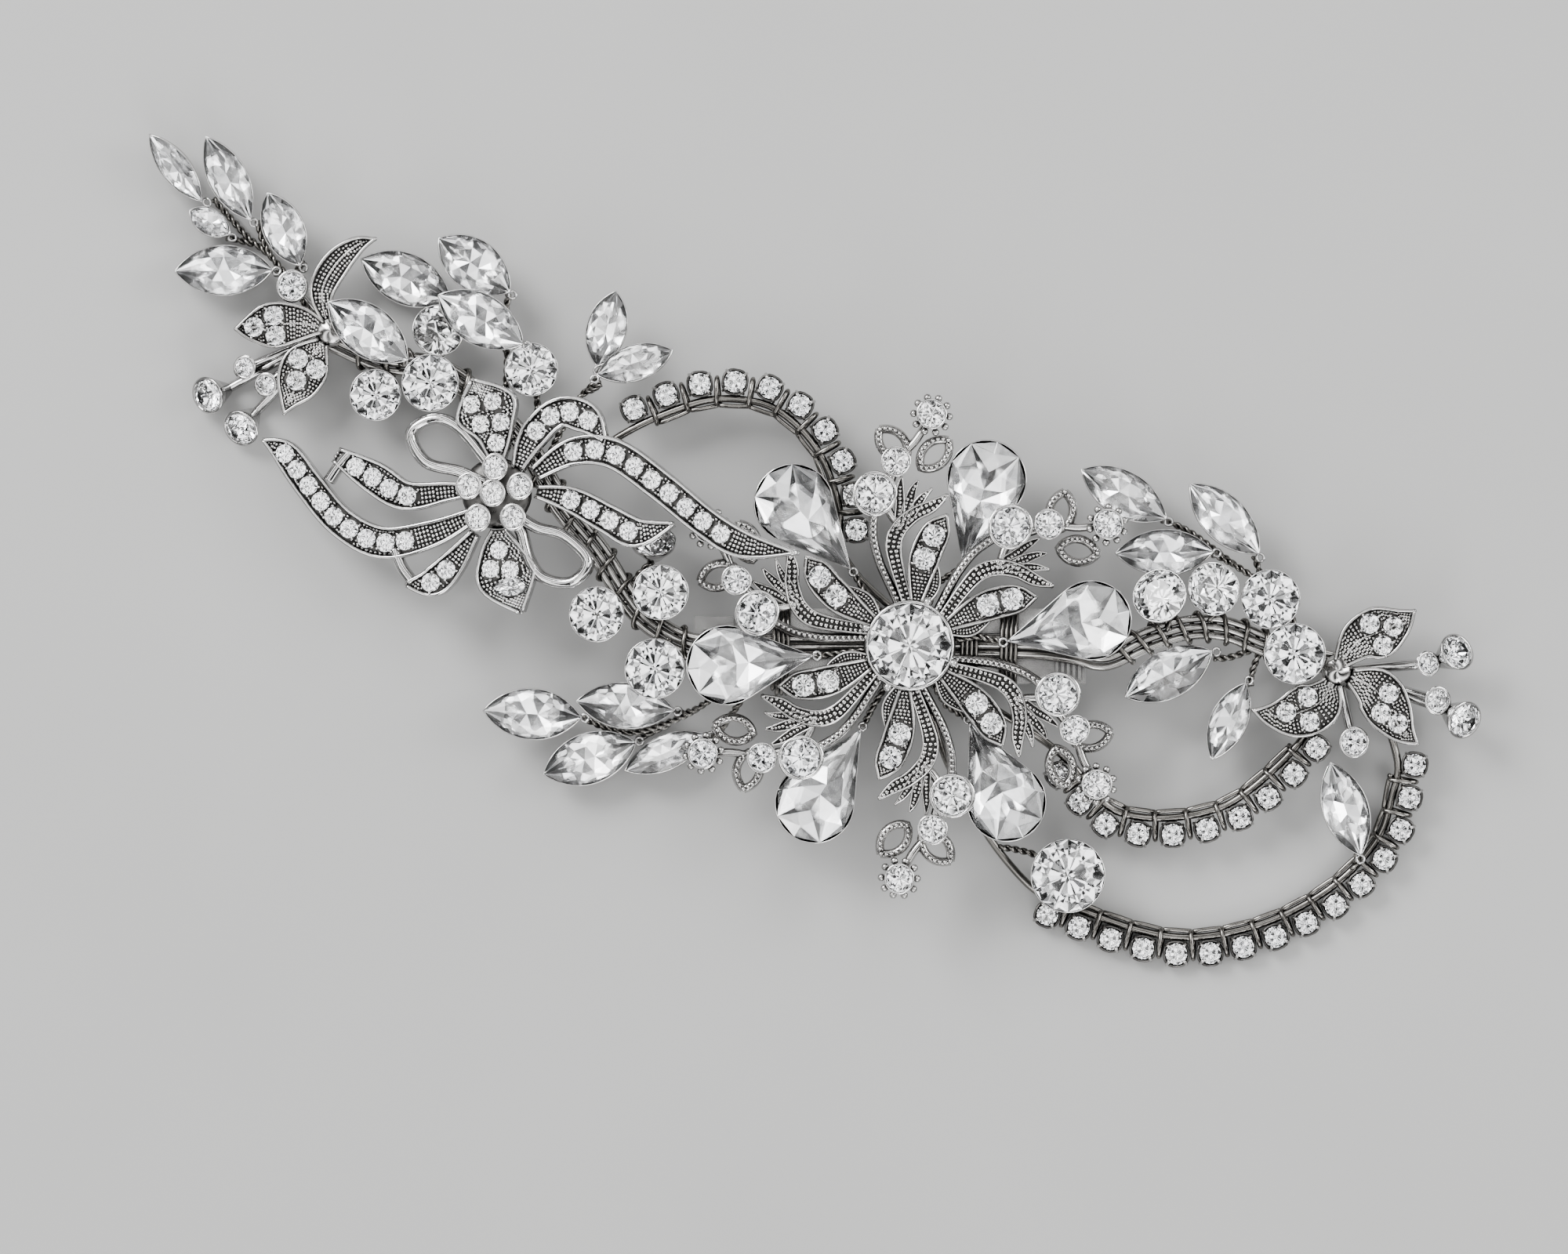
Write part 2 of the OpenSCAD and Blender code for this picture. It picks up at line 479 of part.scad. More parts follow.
module tension_spring() {
    half = clip_len / 2 - 4;
    sag = 1.3;
    thick = 0.25;
    function bow_z(x) = clip_z - 0.45 - sag * (1 - pow(x / half, 2));
    color(metal)
        translate([clip_x, 2.2, 0])
            rotate([90, 0, 0])
                linear_extrude(4.4)
                    polygon(concat(
                        [for (k = [-8 : 8]) [half * k / 8, bow_z(half * k / 8) + thick]],
                        [for (k = [8 : -1 : -8]) [half * k / 8, bow_z(half * k / 8)]]
                    ));
    color(metal)
        for (side = [-1, 1])
            translate([clip_x + side * (half - 0.4) - 0.4, -2.2, clip_z - 0.4])
                cube([0.8, 4.4, 0.4 - GAP]);
}
module clasp_arm() {
    step_x = latch_x + 3.2;
    end_z = 0.62;
    window_w = 4;
    color(metal) {
        translate([step_x, -arm_w / 2, 0])
            cube([hinge_at[0] - step_x, arm_w, arm_t]);
        translate([step_x, -arm_w / 2, 0])
            cube([0.8, arm_w, end_z + arm_t]);
        difference() {
            translate([latch_x - 0.4, -arm_w / 2, end_z])
                cube([step_x - latch_x + 0.5, arm_w, arm_t]);
            translate([tab_x - 0.3, -window_w / 2, 0])
                cube([tab_l + 0.6, window_w, 3]);
        }
        difference() {
            union() {
                translate(hinge_at)
                    rotate([90, 0, 0])
                        cylinder(r = 1.25, h = arm_w, center = true);
                translate([hinge_at[0] - 1.25, -arm_w / 2, 0])
                    cube([1.25, arm_w, hinge_at[2]]);
            }
            translate(hinge_at)
                rotate([90, 0, 0])
                    cylinder(r = rivet_r + 0.05, h = arm_w + 2, center = true);
        }
    }
}
module hinge_rivet() {
    color(metal)
        translate(hinge_at)
            rotate([90, 0, 0]) {
                cylinder(r = rivet_r, h = clip_w + 0.2, center = true);
                for (side = [-1, 1])
                    translate([0, 0, side * (clip_w / 2 + 0.02 + 0.15)])
                        cylinder(r = rivet_r + 0.4, h = 0.3, center = true);
            }
}
// One latch tab, on the +Y side: bend, leg, finger pad, and barb under the arm
module latch_tab() {
    translate([tab_x, tab_y, tab_z])
        rotate([0, 90, 0])
            cylinder(r = 0.35, h = tab_l);
    translate([tab_x, tab_y - tab_t / 2, 0.08])
        cube([tab_l, tab_t, tab_z - 0.08]);
    translate([tab_x, tab_y, 0.08])
        cube([tab_l, 0.95, 0.42]);
    translate([tab_x - 2.2, tab_y - tab_t / 2, 4.6])
        cube([tab_l + 2.2, 1.8, 0.4]);
    translate([tab_x - 2.2, tab_y - tab_t / 2 + 1.4, 2.6])
        cube([tab_l + 2.2, 0.4, 2.4]);
}
module latch_tab_front() {
    color(metal) mirror([0, 1, 0]) latch_tab();
}
module latch_tab_back() {
    color(metal) latch_tab();
}
// Wire that ties the spray to the top plate, in three groups of turns
module clip_bindings() {
    side = clip_w / 2 + 0.35;
    low = clip_z - 0.3;
    high = plate_top + stem_d + 0.32;
    corners = [[-side, low], [-side, plate_top], [-1.6, high], [1.6, high], [side, plate_top], [side, low]];
    for (x = [-14.6, 5.4, 9.6])
        color(dark_metal)
            tube([for (turn = [0 : 3], k = [0 : 5])
                    [x + 0.5 * (turn + k / 6), corners[k][0], corners[k][1]]], wrap_d);
}

// Main stem
module main_stem() {
    line = spline(stem_path, 3);
    for (k = [0 : stem_count - 1])
        color(dark_metal)
            tube([for (i = [0 : len(line) - 1])
                    line[i] + (k - (stem_count - 1) / 2) * stem_pitch * left_of(heading(line, i))], stem_d);
}
module stem_wrap(s0, s1, turns) {
    color(dark_metal)
        tube(coil(spline(stem_path, 3), s0, s1, turns,
                  stem_pitch + stem_d / 2 + wrap_d / 2, stem_d / 2 + wrap_d / 2), wrap_d, 5);
}
module stem_binding_left() {
    stem_wrap(3, 55, 17);
}
module stem_binding_right() {
    stem_wrap(99, 118, 8);
}

// The flower
module arm_casting() {
    band = [[4.4, -11, 1.2], [8.3, -4, 1.5], [10.8, -4, 1.8], [12.6, -8.5, 1.8], [14, -15.5, 1.6],
            [15, -22, 1.4], [16.4, -27, 0.5]];
    fringe = [[12.6, -8.5, 1.4], [14.8, -12.5, 2.2], [17.2, -16, 3]];
    leaf = [[4.6, -22, 1.4], [8, -22, 3], [10.6, -24, 3.4], [12.8, -27, 2.8], [14.4, -29, 0.4]];
    arc = [[4.6, 1, 0.9], [7, 5, 0.9], [9.6, 6.5, 0.9], [12.4, 5, 0.9], [15.2, 1, 0.9]];
    spine = [[12.6, -9, 1], [15.4, -4, 1], [19.6, -9.6, 1.2], [22, -15, 1.2], [24.6, -18.5, 1.2]];
    for (line = [band, fringe, arc, spine])
        strip([for (p = line) [each polar(p), p[2]]], arm_h, 3);
    channel([for (p = leaf) [each polar(p), p[2]]], 3);
    for (spot = [[21.6, -8.4, 30], [20.6, -20.5, -58]])
        translate(polar(spot))
            rotate([0, 0, spot[2]])
                difference() {
                    linear_extrude(arm_h) polygon(navette(5, 3.2));
                    translate([0, 0, -1])
                        linear_extrude(3) polygon(navette(3.2, 1.8));
                }
    for (spot = [[bezel_at, bezel_lift], [small_at, 0]])
        translate(polar(spot[0]))
            cylinder(d = 2, h = arm_h + spot[1], $fn = 16);
    translate(polar(tip_at))
        linear_extrude(arm_h) circle(d = small_d + 2, $fn = 16);
}
module flower_casting() {
    color(metal) {
        translate([0, 0, hub_z])
            cylinder(r = hub_r, h = 1.2);
        for (side = [-1, 1])
            translate([0, side * 2.8, plate_top])
                cylinder(r = 0.7, h = hub_z - plate_top + 0.2);
        for (direction = arm_dirs)
            arm_frame(direction)
                arm_casting();
    }
}
module centre_bezel() {
    color(metal) translate([0, 0, hub_z + 1.2]) round_cup(centre_d);
}
module centre_stone() {
    color(crystal) translate([0, 0, hub_z + 1.2 + seat_z]) round_stone(centre_d);
}
module at_arm_stones() {
    for (direction = arm_dirs, spot = [[bezel_at, bezel_d, bezel_lift], [small_at, small_d, 0], [tip_at, small_d, 0]])
        arm_frame(direction)
            translate([each polar(spot[0]), arm_h + spot[2]]) {
                $d = spot[1];
                children();
            }
}
module arm_bezels() {
    color(metal) at_arm_stones() round_cup($d);
}
module arm_stones() {
    color(crystal) at_arm_stones() translate([0, 0, seat_z]) round_stone($d);
}
module petal_stones() {
    color(crystal)
        for (direction = arm_dirs, spot = [[9.3, -22.6], [11.9, -25.6]])
            arm_frame(direction)
                translate([each polar(spot), floor_h + GAP])
                    round_stone(petal_d);
}
module pear_settings() {
    color(metal)
        for (place = pears)
            pear_frame(place)
                shaped_setting(pear(pear_l, pear_w, wall), pear(pear_l, pear_w, GAP), pear_depth);
}
module pear_stones() {
    color(crystal)
        for (place = pears)
            pear_frame(place)
                translate([0, 0, seat_z])
                    shaped_stone(pear(pear_l, pear_w), 0.3, pear_depth);
}
module pear_stems() {
    color(dark_metal)
        for (place = pears)
            tube([
                [4 * cos(place[0]), 4 * sin(place[0]), hub_z - 0.3],
                [7.5 * cos(place[0]), 7.5 * sin(place[0]), (hub_z + place[2]) / 2 + 0.4],
                [pear_r * cos(place[0]) - 9.6 * cos(place[1]), pear_r * sin(place[0]) - 9.6 * sin(place[1]),
                 place[2] + 0.8]
            ], twist_d);
}

// The bow
module bow_casting() {
    color(metal)
        bow_frame() {
            translate([bow_at[0], bow_at[1], 0])
                cylinder(r = 4.6, h = floor_h + 0.4);
            for (ribbon = ribbons)
                channel(ribbon[0]);
            for (line = loops)
                strip(line, rim_h);
        }
}
module at_bow_cups() {
    for (spot = bow_cups)
        bow_frame()
            translate([bow_at[0] + spot[0], bow_at[1] + spot[1], rim_h + GAP])
                children();
}
module bow_centre_cups() {
    color(metal) at_bow_cups() round_cup(bow_cup_d);
}
module bow_centre_stones() {
    color(crystal) at_bow_cups() translate([0, 0, seat_z]) round_stone(bow_cup_d);
}
module bow_ribbon_stones() {
    color(crystal)
        bow_frame() {
            for (ribbon = ribbons) {
                line = [for (p = spline(ribbon[0], 4)) [p[0], p[1], 0]];
                for (k = [0 : 1 : ribbon[2] - 1])
                    translate(station(line, ribbon[1] + ribbon[3] * k)[0] + [0, 0, floor_h + GAP])
                        round_stone(pave_d);
            }
            for (spot = petal_spots)
                translate([spot[0], spot[1], floor_h + GAP])
                    round_stone(pave_d - 0.1);
        }
}

// Leaf castings
module leaf_casting(hub, leaves) {
    color(metal)
        translate([0, 0, hub[2]]) {
            translate([hub[0], hub[1], 0])
                cylinder(r = 1.7, h = floor_h + 0.2);
            for (leaf = leaves)
                channel(leaf);
        }
}
module leaf_stones(hub, spots) {
    color(crystal)
        for (spot = spots)
            translate([spot[0], spot[1], hub[2] + floor_h + GAP])
                round_stone(pave_d - 0.1);
}
module bud_cups(hub, buds) {
    color(metal)
        for (bud = buds) {
            leaning(bud, bud[4], bud[5]) round_cup(bud[3]);
            foot = [bud[0], bud[1], bud[2]];
            tube([hub - [0, 0, 0.5], (hub + foot) / 2 - [0, 0, 0.6], foot + [0, 0, 0.1]], twist_d);
        }
}
module bud_stones(buds) {
    color(crystal)
        for (bud = buds)
            leaning(bud, bud[4], bud[5])
                translate([0, 0, seat_z])
                    round_stone(bud[3]);
}
module left_leaf_casting() {
    leaf_casting(left_hub, left_leaves);
}
module left_leaf_stones() {
    leaf_stones(left_hub, left_spots);
}
module left_stamens() {
    bud_cups(left_hub, left_buds);
}
module left_stamen_stones() {
    bud_stones(left_buds);
}
module right_leaf_casting() {
    leaf_casting(right_hub, right_leaves);
}
module right_leaf_stones() {
    leaf_stones(right_hub, right_spots);
}
module right_stamens() {
    bud_cups(right_hub, right_buds);
}
module right_stamen_stones() {
    bud_stones(right_buds);
}

// Round stones on their own stems
module round_cups() {
    color(metal)
        for (item = rounds)
            leaning(item, item[4], item[5])
                round_cup(item[3]);
}
module round_stones() {
    color(crystal)
        for (item = rounds)
            leaning(item, item[4], item[5])
                translate([0, 0, seat_z])
                    round_stone(item[3]);
}

// Twisted wires of a spray
module wires(paths) {
    color(dark_metal)
        for (path = paths)
            tube(spline(path, 2), twist_d);
}

barrette_base();
tension_spring();
clasp_arm();
hinge_rivet();
latch_tab_front();
latch_tab_back();
clip_bindings();
main_stem();
stem_binding_left();
stem_binding_right();
flower_casting();
centre_bezel();
centre_stone();
arm_bezels();
arm_stones();
petal_stones();
pear_settings();
pear_stones();
pear_stems();
bow_casting();
bow_centre_cups();
bow_centre_stones();
bow_ribbon_stones();
left_leaf_casting();
left_leaf_stones();
left_stamens();
left_stamen_stones();
right_leaf_casting();
right_leaf_stones();
right_stamens();
right_stamen_stones();
color(metal) chain_cups(upper_chain);  // upper_chain_cups
color(crystal) chain_stones(upper_chain);  // upper_chain_stones
color(dark_metal) chain_wire(upper_chain);  // upper_chain_wire
color(dark_metal) chain_wrap(upper_chain);  // upper_chain_wrap
color(metal) chain_cups(inner_chain);  // inner_chain_cups
color(crystal) chain_stones(inner_chain);  // inner_chain_stones
color(dark_metal) chain_wire(inner_chain);  // inner_chain_wire
color(dark_metal) chain_wrap(inner_chain);  // inner_chain_wrap
color(metal) chain_cups(outer_chain);  // outer_chain_cups
color(crystal) chain_stones(outer_chain);  // outer_chain_stones
color(dark_metal) chain_wire(outer_chain);  // outer_chain_wire
color(dark_metal) chain_wrap(outer_chain);  // outer_chain_wrap
color(metal) navette_settings(tip_navettes);  // tip_spray_settings
color(crystal) navette_stones(tip_navettes);  // tip_spray_stones
wires(tip_wires);  // tip_spray_wires
color(metal) navette_settings(upper_navettes);  // upper_spray_settings
color(crystal) navette_stones(upper_navettes);  // upper_spray_stones
wires(upper_wires);  // upper_spray_wires
color(metal) navette_settings(lower_navettes);  // lower_spray_settings
color(crystal) navette_stones(lower_navettes);  // lower_spray_stones
wires(lower_wires);  // lower_spray_wires
color(metal) navette_settings(right_navettes);  // right_spray_settings
color(crystal) navette_stones(right_navettes);  // right_spray_stones
wires(right_wires);  // right_spray_wires
round_cups();
round_stones();
wires(round_wires);  // round_stems
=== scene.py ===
import math
import random

import bmesh
import bpy
import numpy as np
from mathutils import Matrix, Vector


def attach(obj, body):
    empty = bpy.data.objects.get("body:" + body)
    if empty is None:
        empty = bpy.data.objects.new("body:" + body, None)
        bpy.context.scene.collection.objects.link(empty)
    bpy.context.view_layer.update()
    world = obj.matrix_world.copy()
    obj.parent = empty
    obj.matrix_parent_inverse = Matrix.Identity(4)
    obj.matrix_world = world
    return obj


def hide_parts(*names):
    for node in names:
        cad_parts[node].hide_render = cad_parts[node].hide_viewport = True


# A bridal hair clip: castings, crystal stones and wire.
# Lengths are in millimetres until MM turns them to metres.
MM = 0.001
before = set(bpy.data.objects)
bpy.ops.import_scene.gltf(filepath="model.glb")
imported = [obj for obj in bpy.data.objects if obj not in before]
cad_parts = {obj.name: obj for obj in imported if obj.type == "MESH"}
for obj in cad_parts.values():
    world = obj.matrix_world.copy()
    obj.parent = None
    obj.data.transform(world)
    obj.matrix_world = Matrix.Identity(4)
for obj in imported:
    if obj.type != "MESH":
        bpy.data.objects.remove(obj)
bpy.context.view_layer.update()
rng = random.Random(7)
UP = Vector((0, 0, 1))


# Materials

def node_material(name):
    material = bpy.data.materials.new(name)
    material.use_nodes = True
    tree = material.node_tree
    return material, tree, tree.nodes["Principled BSDF"]


def add_node(tree, kind, **inputs):
    """A node with its inputs set. An underscore in a name stands for a space."""
    made = tree.nodes.new(kind)
    for key, value in inputs.items():
        made.inputs[key.replace("_", " ")].default_value = value
    return made


def ramp(tree, value, stops):
    """Turns a value into a colour, from (value, colour) stops."""
    made = tree.nodes.new("ShaderNodeValToRGB")
    for end, (place, colour) in ((0, stops[0]), (1, stops[-1])):
        made.color_ramp.elements[end].position = place
        made.color_ramp.elements[end].color = (*colour, 1)
    for place, colour in stops[1:-1]:
        made.color_ramp.elements.new(place).color = (*colour, 1)
    tree.links.new(value, made.inputs["Fac"])
    return made.outputs["Color"]


def noise(tree, size_mm):
    """Noise whose blotches are about size_mm across."""
    place = tree.nodes.new("ShaderNodeTexCoord")
    made = add_node(tree, "ShaderNodeTexNoise", Scale=1 / (size_mm * MM), Detail=3)
    tree.links.new(place.outputs["Object"], made.inputs["Vector"])
    return made.outputs["Fac"]


def bump(tree, shader, height, depth_mm, strength):
    made = add_node(tree, "ShaderNodeBump", Strength=strength, Distance=depth_mm * MM)
    tree.links.new(height, made.inputs["Height"])
    tree.links.new(made.outputs["Normal"], shader.inputs["Normal"])


def combined(tree, operation, *values):
    """A sum on values, which are numbers or other nodes' outputs."""
    made = tree.nodes.new("ShaderNodeMath")
    made.operation = operation
    for socket, value in zip(made.inputs, values):
        if isinstance(value, (int, float)):
            socket.default_value = value
        else:
            tree.links.new(value, socket)
    return made.outputs["Value"]


def mixed(tree, share, first, second):
    """The first colour where share is 0, and the second where it is 1."""
    made = tree.nodes.new("ShaderNodeMix")
    made.data_type = "RGBA"
    tree.links.new(share, made.inputs["Factor"])
    for socket, value in (("A", first), ("B", second)):
        entry = [i for i in made.inputs if i.name == socket and i.type == "RGBA"][0]
        if isinstance(value, tuple):
            entry.default_value = (*value, 1)
        else:
            tree.links.new(value, entry)
    return [o for o in made.outputs if o.type == "RGBA"][0]


def metal(name, bright, dull, shade_and_patina, rough, shade_and_patina_mm):
    """Metal in worn patches from dull to bright, with a fine cast grain, and painted shade with patina that
    darkens its colour where it is recessed.
    """
    material, tree, shader = node_material(name)
    shader.inputs["Metallic"].default_value = 1
    tone = ramp(tree, noise(tree, 3), [(0.3, dull), (0.7, bright)])
    # Painted shade and patina: ambient occlusion mixes the base colour to a near-black in hollows, between
    # parts and under things.
    hidden = add_node(tree, "ShaderNodeAmbientOcclusion", Distance=shade_and_patina_mm * MM)
    hidden.samples = 6
    openness = ramp(tree, hidden.outputs["AO"], [(0.3, (0, 0, 0)), (0.78, (1, 1, 1))])
    tree.links.new(mixed(tree, openness, shade_and_patina, tone), shader.inputs["Base Color"])
    worn = ramp(tree, noise(tree, 1.2), [(0.3, (rough * 1.5,) * 3), (0.7, (rough * 0.7,) * 3)])
    tree.links.new(worn, shader.inputs["Roughness"])
    bump(tree, shader, noise(tree, 0.5), 0.02, 0.4)
    return material


def crystal(name):
    material, tree, shader = node_material(name)
    shader.inputs["Transmission Weight"].default_value = 1
    shader.inputs["IOR"].default_value = 1.55
    tint = ramp(tree, noise(tree, 6), [(0.3, (0.97, 0.98, 1)), (0.7, (1, 1, 1))])
    tree.links.new(tint, shader.inputs["Base Color"])
    haze = ramp(tree, noise(tree, 2), [(0.4, (0.0,) * 3), (0.7, (0.02,) * 3)])
    tree.links.new(haze, shader.inputs["Roughness"])
    return material


def foil(name, clear, hazy):
    """The mirror on the back of a stone, seen through its crown, from its clear spots to its hazy ones."""
    material, tree, shader = node_material(name)
    shader.inputs["Metallic"].default_value = 1
    tint = ramp(tree, noise(tree, 2), [(0.3, (0.86, 0.86, 0.87)), (0.7, (0.97, 0.97, 0.96))])
    tree.links.new(tint, shader.inputs["Base Color"])
    haze = ramp(tree, noise(tree, 1), [(0.3, (clear,) * 3), (0.7, (hazy,) * 3)])
    tree.links.new(haze, shader.inputs["Roughness"])
    return material


def floor_paint():
    material, tree, shader = node_material("floor")
    tone = ramp(tree, noise(tree, 60), [(0.3, (0.32, 0.32, 0.317)), (0.7, (0.34, 0.34, 0.337))])
    tree.links.new(tone, shader.inputs["Base Color"])
    shader.inputs["Roughness"].default_value = 0.9
    bump(tree, shader, noise(tree, 0.6), 0.02, 0.3)
    return material


# Each metal's third colour is its painted shade and patina, mixed in where it is recessed, out to the
# distance given last.
SILVER = metal("silver", (0.50, 0.49, 0.48), (0.33, 0.325, 0.32), (0.015, 0.014, 0.013),
               rough=0.15, shade_and_patina_mm=0.8)
POLISHED = metal("polished_silver", (0.60, 0.595, 0.59), (0.42, 0.415, 0.41), (0.02, 0.019, 0.018),
                 rough=0.1, shade_and_patina_mm=0.6)
ANTIQUE = metal("antiqued_silver", (0.12, 0.117, 0.113), (0.06, 0.058, 0.056), (0.01, 0.0097, 0.0094),
                rough=0.3, shade_and_patina_mm=0.6)
WIRE = metal("dark_wire", (0.20, 0.192, 0.18), (0.11, 0.105, 0.098), (0.01, 0.0096, 0.009),
             rough=0.16, shade_and_patina_mm=0.3)
GUNMETAL = metal("gunmetal_wire", (0.40, 0.39, 0.375), (0.25, 0.244, 0.235), (0.012, 0.0117, 0.0112),
                 rough=0.13, shade_and_patina_mm=0.5)
STEEL = metal("clip_steel", (0.22, 0.217, 0.213), (0.15, 0.148, 0.145), (0.02, 0.02, 0.02),
              rough=0.16, shade_and_patina_mm=1.5)
CRYSTAL = crystal("crystal")
FOIL = foil("foil", clear=0.02, hazy=0.07)
PALE_FOIL = foil("pale_foil", clear=0.1, hazy=0.18)


# Mesh building

class Shape:
    """Vertices and faces gathered in millimetres. place turns local points into the frame's."""

    def __init__(self):
        self.points = []
        self.faces = []
        self.place = Matrix.Identity(4)

    def add(self, points, faces, material=0, smooth=True):
        start = len(self.points)
        self.points += [self.place @ Vector(p) for p in points]
        self.faces += [(tuple(start + i for i in f), material, smooth) for f in faces]

    def grid(self, rows, capped=True, material=0, smooth=True):
        """Closed rows of points joined into a skin, with a cap at each end."""
        n = len(rows[0])
        faces = [
            (j * n + k, j * n + (k + 1) % n, (j + 1) * n + (k + 1) % n, (j + 1) * n + k)
            for j in range(len(rows) - 1)
            for k in range(n)
        ]
        if capped:
            faces.append(tuple(range(n - 1, -1, -1)))
            faces.append(tuple((len(rows) - 1) * n + k for k in range(n)))
        self.add([p for row in rows for p in row], faces, material, smooth)

    def lathe(self, at, axis, profile, n, material=0):
        """A (radius, height) profile turned about an axis."""
        across = side_of(axis)
        along = axis.cross(across)
        rows = [
            [at + axis * h + (across * math.cos(a) + along * math.sin(a)) * r for a in turn(n)]
            for r, h in profile
        ]
        self.grid(rows, capped=False, material=material)

    def ball(self, at, r, n=8):
        """A bead, left flat at its two poles."""
        rows = []
        for k in range(1, n // 2):
            b = math.pi * k / (n // 2)
            wide, z = r * math.sin(b), -r * math.cos(b)
            rows.append([Vector((wide * math.cos(a), wide * math.sin(a), z)) + at for a in turn(n)])
        self.grid(rows)

    def tube(self, path, r, n):
        """A round wire along a path."""
        across = frames(path)
        rows = []
        for i, p in enumerate(path):
            other = heading(path, i).cross(across[i])
            rows.append([p + (across[i] * math.cos(w) + other * math.sin(w)) * r for w in turn(n)])
        self.grid(rows)

    def piece(self, name, materials, slot, *nodes, body="spray"):
        """Makes the object, rides it on its body and puts it in place of its CAD nodes."""
        mesh = bpy.data.meshes.new(name)
        mesh.from_pydata([p * MM for p in self.points], [], [f[0] for f in self.faces])
        for polygon, face in zip(mesh.polygons, self.faces):
            polygon.material_index = face[1]
            polygon.use_smooth = face[2]
        tidy_mesh(mesh)
        for material in materials:
            mesh.materials.append(material)
        made = bpy.data.objects.new(name, mesh)
        bpy.context.scene.collection.objects.link(made)
        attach(made, body)
        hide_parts(*nodes)
        return made


def tidy_mesh(mesh):
    """Joins points that meet, drops empty faces and turns every face outward."""
    grown = bmesh.new()
    grown.from_mesh(mesh)
    bmesh.ops.remove_doubles(grown, verts=grown.verts, dist=2e-7)
    bmesh.ops.dissolve_degenerate(grown, edges=grown.edges, dist=1e-7)
    bmesh.ops.recalc_face_normals(grown, faces=grown.faces)
    grown.to_mesh(mesh)
    grown.free()


def turn(n):
    """The angles of n even steps round a circle."""
    return [2 * math.pi * k / n for k in range(n)]


def side_of(t):
    """A level direction square to t."""
    across = Vector((-t.y, t.x, 0))
    return across.normalized() if across.length > 1e-3 else Vector((1, 0, 0))


def heading(path, i):
    """The way that a path runs at its point i."""
    return (path[min(i + 1, len(path) - 1)] - path[max(i - 1, 0)]).normalized()


def frames(path):
    """A sideways direction at each point of a line, carried along it without twisting."""
    out = []
    across = side_of(heading(path, 0))
    for i in range(len(path)):
        t = heading(path, i)
        across = (across - t * across.dot(t)).normalized()
        out.append(across)
    return out


def resampled(path, step):
    """The same line with a point every step."""
    lengths = [0.0]
    for a, b in zip(path, path[1:]):
        lengths.append(lengths[-1] + (b - a).length)
    out = []
    count = max(2, round(lengths[-1] / step))
    i = 0
    for k in range(count + 1):
        s = lengths[-1] * k / count
        while i < len(path) - 2 and lengths[i + 1] < s:
            i += 1
        share = (s - lengths[i]) / max(lengths[i + 1] - lengths[i], 1e-9)
        out.append(path[i].lerp(path[i + 1], min(share, 1)))
    return out


# What the CAD solids say about where things are

def solids(node):
    """The vertices of each separate solid of a CAD node, in millimetres, with their edges and faces."""
    shape = bmesh.new()
    shape.from_mesh(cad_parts[node].data)
    bmesh.ops.scale(shape, vec=(1 / MM,) * 3, verts=shape.verts)
    bmesh.ops.remove_doubles(shape, verts=shape.verts, dist=1e-4)
    seen, out = set(), []
    for first in shape.verts:
        if first in seen:
            continue
        found, edge = [], [first]
        while edge:
            v = edge.pop()
            if v not in seen:
                seen.add(v)
                found.append(v)
                edge += [e.other_vert(v) for e in v.link_edges]
        faces = list({f.index: f for v in found for f in v.link_faces}.values())
        numbers = {v: i for i, v in enumerate(found)}
        out.append({
            "points": [v.co.copy() for v in found],
            "joins": [[numbers[e.other_vert(v)] for e in v.link_edges] for v in found],
            "faces": [
                (f.normal.copy(), f.calc_area(), f.calc_center_median(), [numbers[v] for v in f.verts])
                for f in faces
            ],
        })
    shape.free()
    return out


# Of a CAD stone: faces belong to one flat side where the dot product of their normals is above this
SAME_WAY = 0.9999
# and its girdle's corners are between these shares of its height
GIRDLE_BAND = (0.55, 0.8)


class Stone:
    """Where a stone stands: its point, axis, long direction, length, width and height.

    Its table is its largest flat side. A pear's long direction runs from its lobe to its tip.
    """

    def __init__(self, solid):
        normals = np.array([f[0] for f in solid["faces"]])
        areas = np.array([f[1] for f in solid["faces"]])
        sides = (normals @ normals.T > SAME_WAY) @ areas
        best = int(sides.argmax())
        table = [f for f in solid["faces"] if f[0].dot(solid["faces"][best][0]) > SAME_WAY]
        self.axis = solid["faces"][best][0].normalized()
        whole = sum(f[1] for f in table)
        centre = sum((f[2] * f[1] for f in table), Vector()) / whole
        points = solid["points"]
        heights = [p.dot(self.axis) for p in points]
        low, high = min(heights), max(heights)
        self.height = high - low
        flat_points = [p - self.axis * p.dot(self.axis) for p in points]
        middle = centre - self.axis * centre.dot(self.axis)
        lowest, highest = GIRDLE_BAND
        rim = [p - middle for p, h in zip(flat_points, heights) if lowest < (h - low) / self.height < highest]
        across = side_of(self.axis)
        along = self.axis.cross(across)
        plane = np.array([[p.dot(across), p.dot(along)] for p in rim])
        vectors = np.linalg.eigh(np.cov((plane - plane.mean(0)).T))[1]
        self.long = (across * vectors[0, 1] + along * vectors[1, 1]).normalized()
        self.wide = self.axis.cross(self.long)
        xs = [p.dot(self.long) for p in rim]
        ys = [p.dot(self.wide) for p in rim]
        widest = xs[int(np.argmax(np.abs(ys)))]
        if widest > (max(xs) + min(xs)) / 2:
            self.long, self.wide = -self.long, -self.wide
            xs, ys = [-x for x in xs], [-y for y in ys]
        self.length, self.width = max(xs) - min(xs), max(ys) - min(ys)
        shift = self.long * (max(xs) + min(xs)) / 2 + self.wide * (max(ys) + min(ys)) / 2
        self.at = middle + shift + self.axis * low

    def place(self):
        """Takes a stone drawn at the origin, table up and long side along X, to its place."""
        facing = Matrix((self.long, self.wide, self.axis)).transposed().to_4x4()
        return Matrix.Translation(self.at) @ facing


# A stone's outline takes a share of a turn to a point of its girdle

def round_outline(l, w):
    return lambda a: Vector((l / 2 * math.cos(2 * math.pi * a), w / 2 * math.sin(2 * math.pi * a), 0))


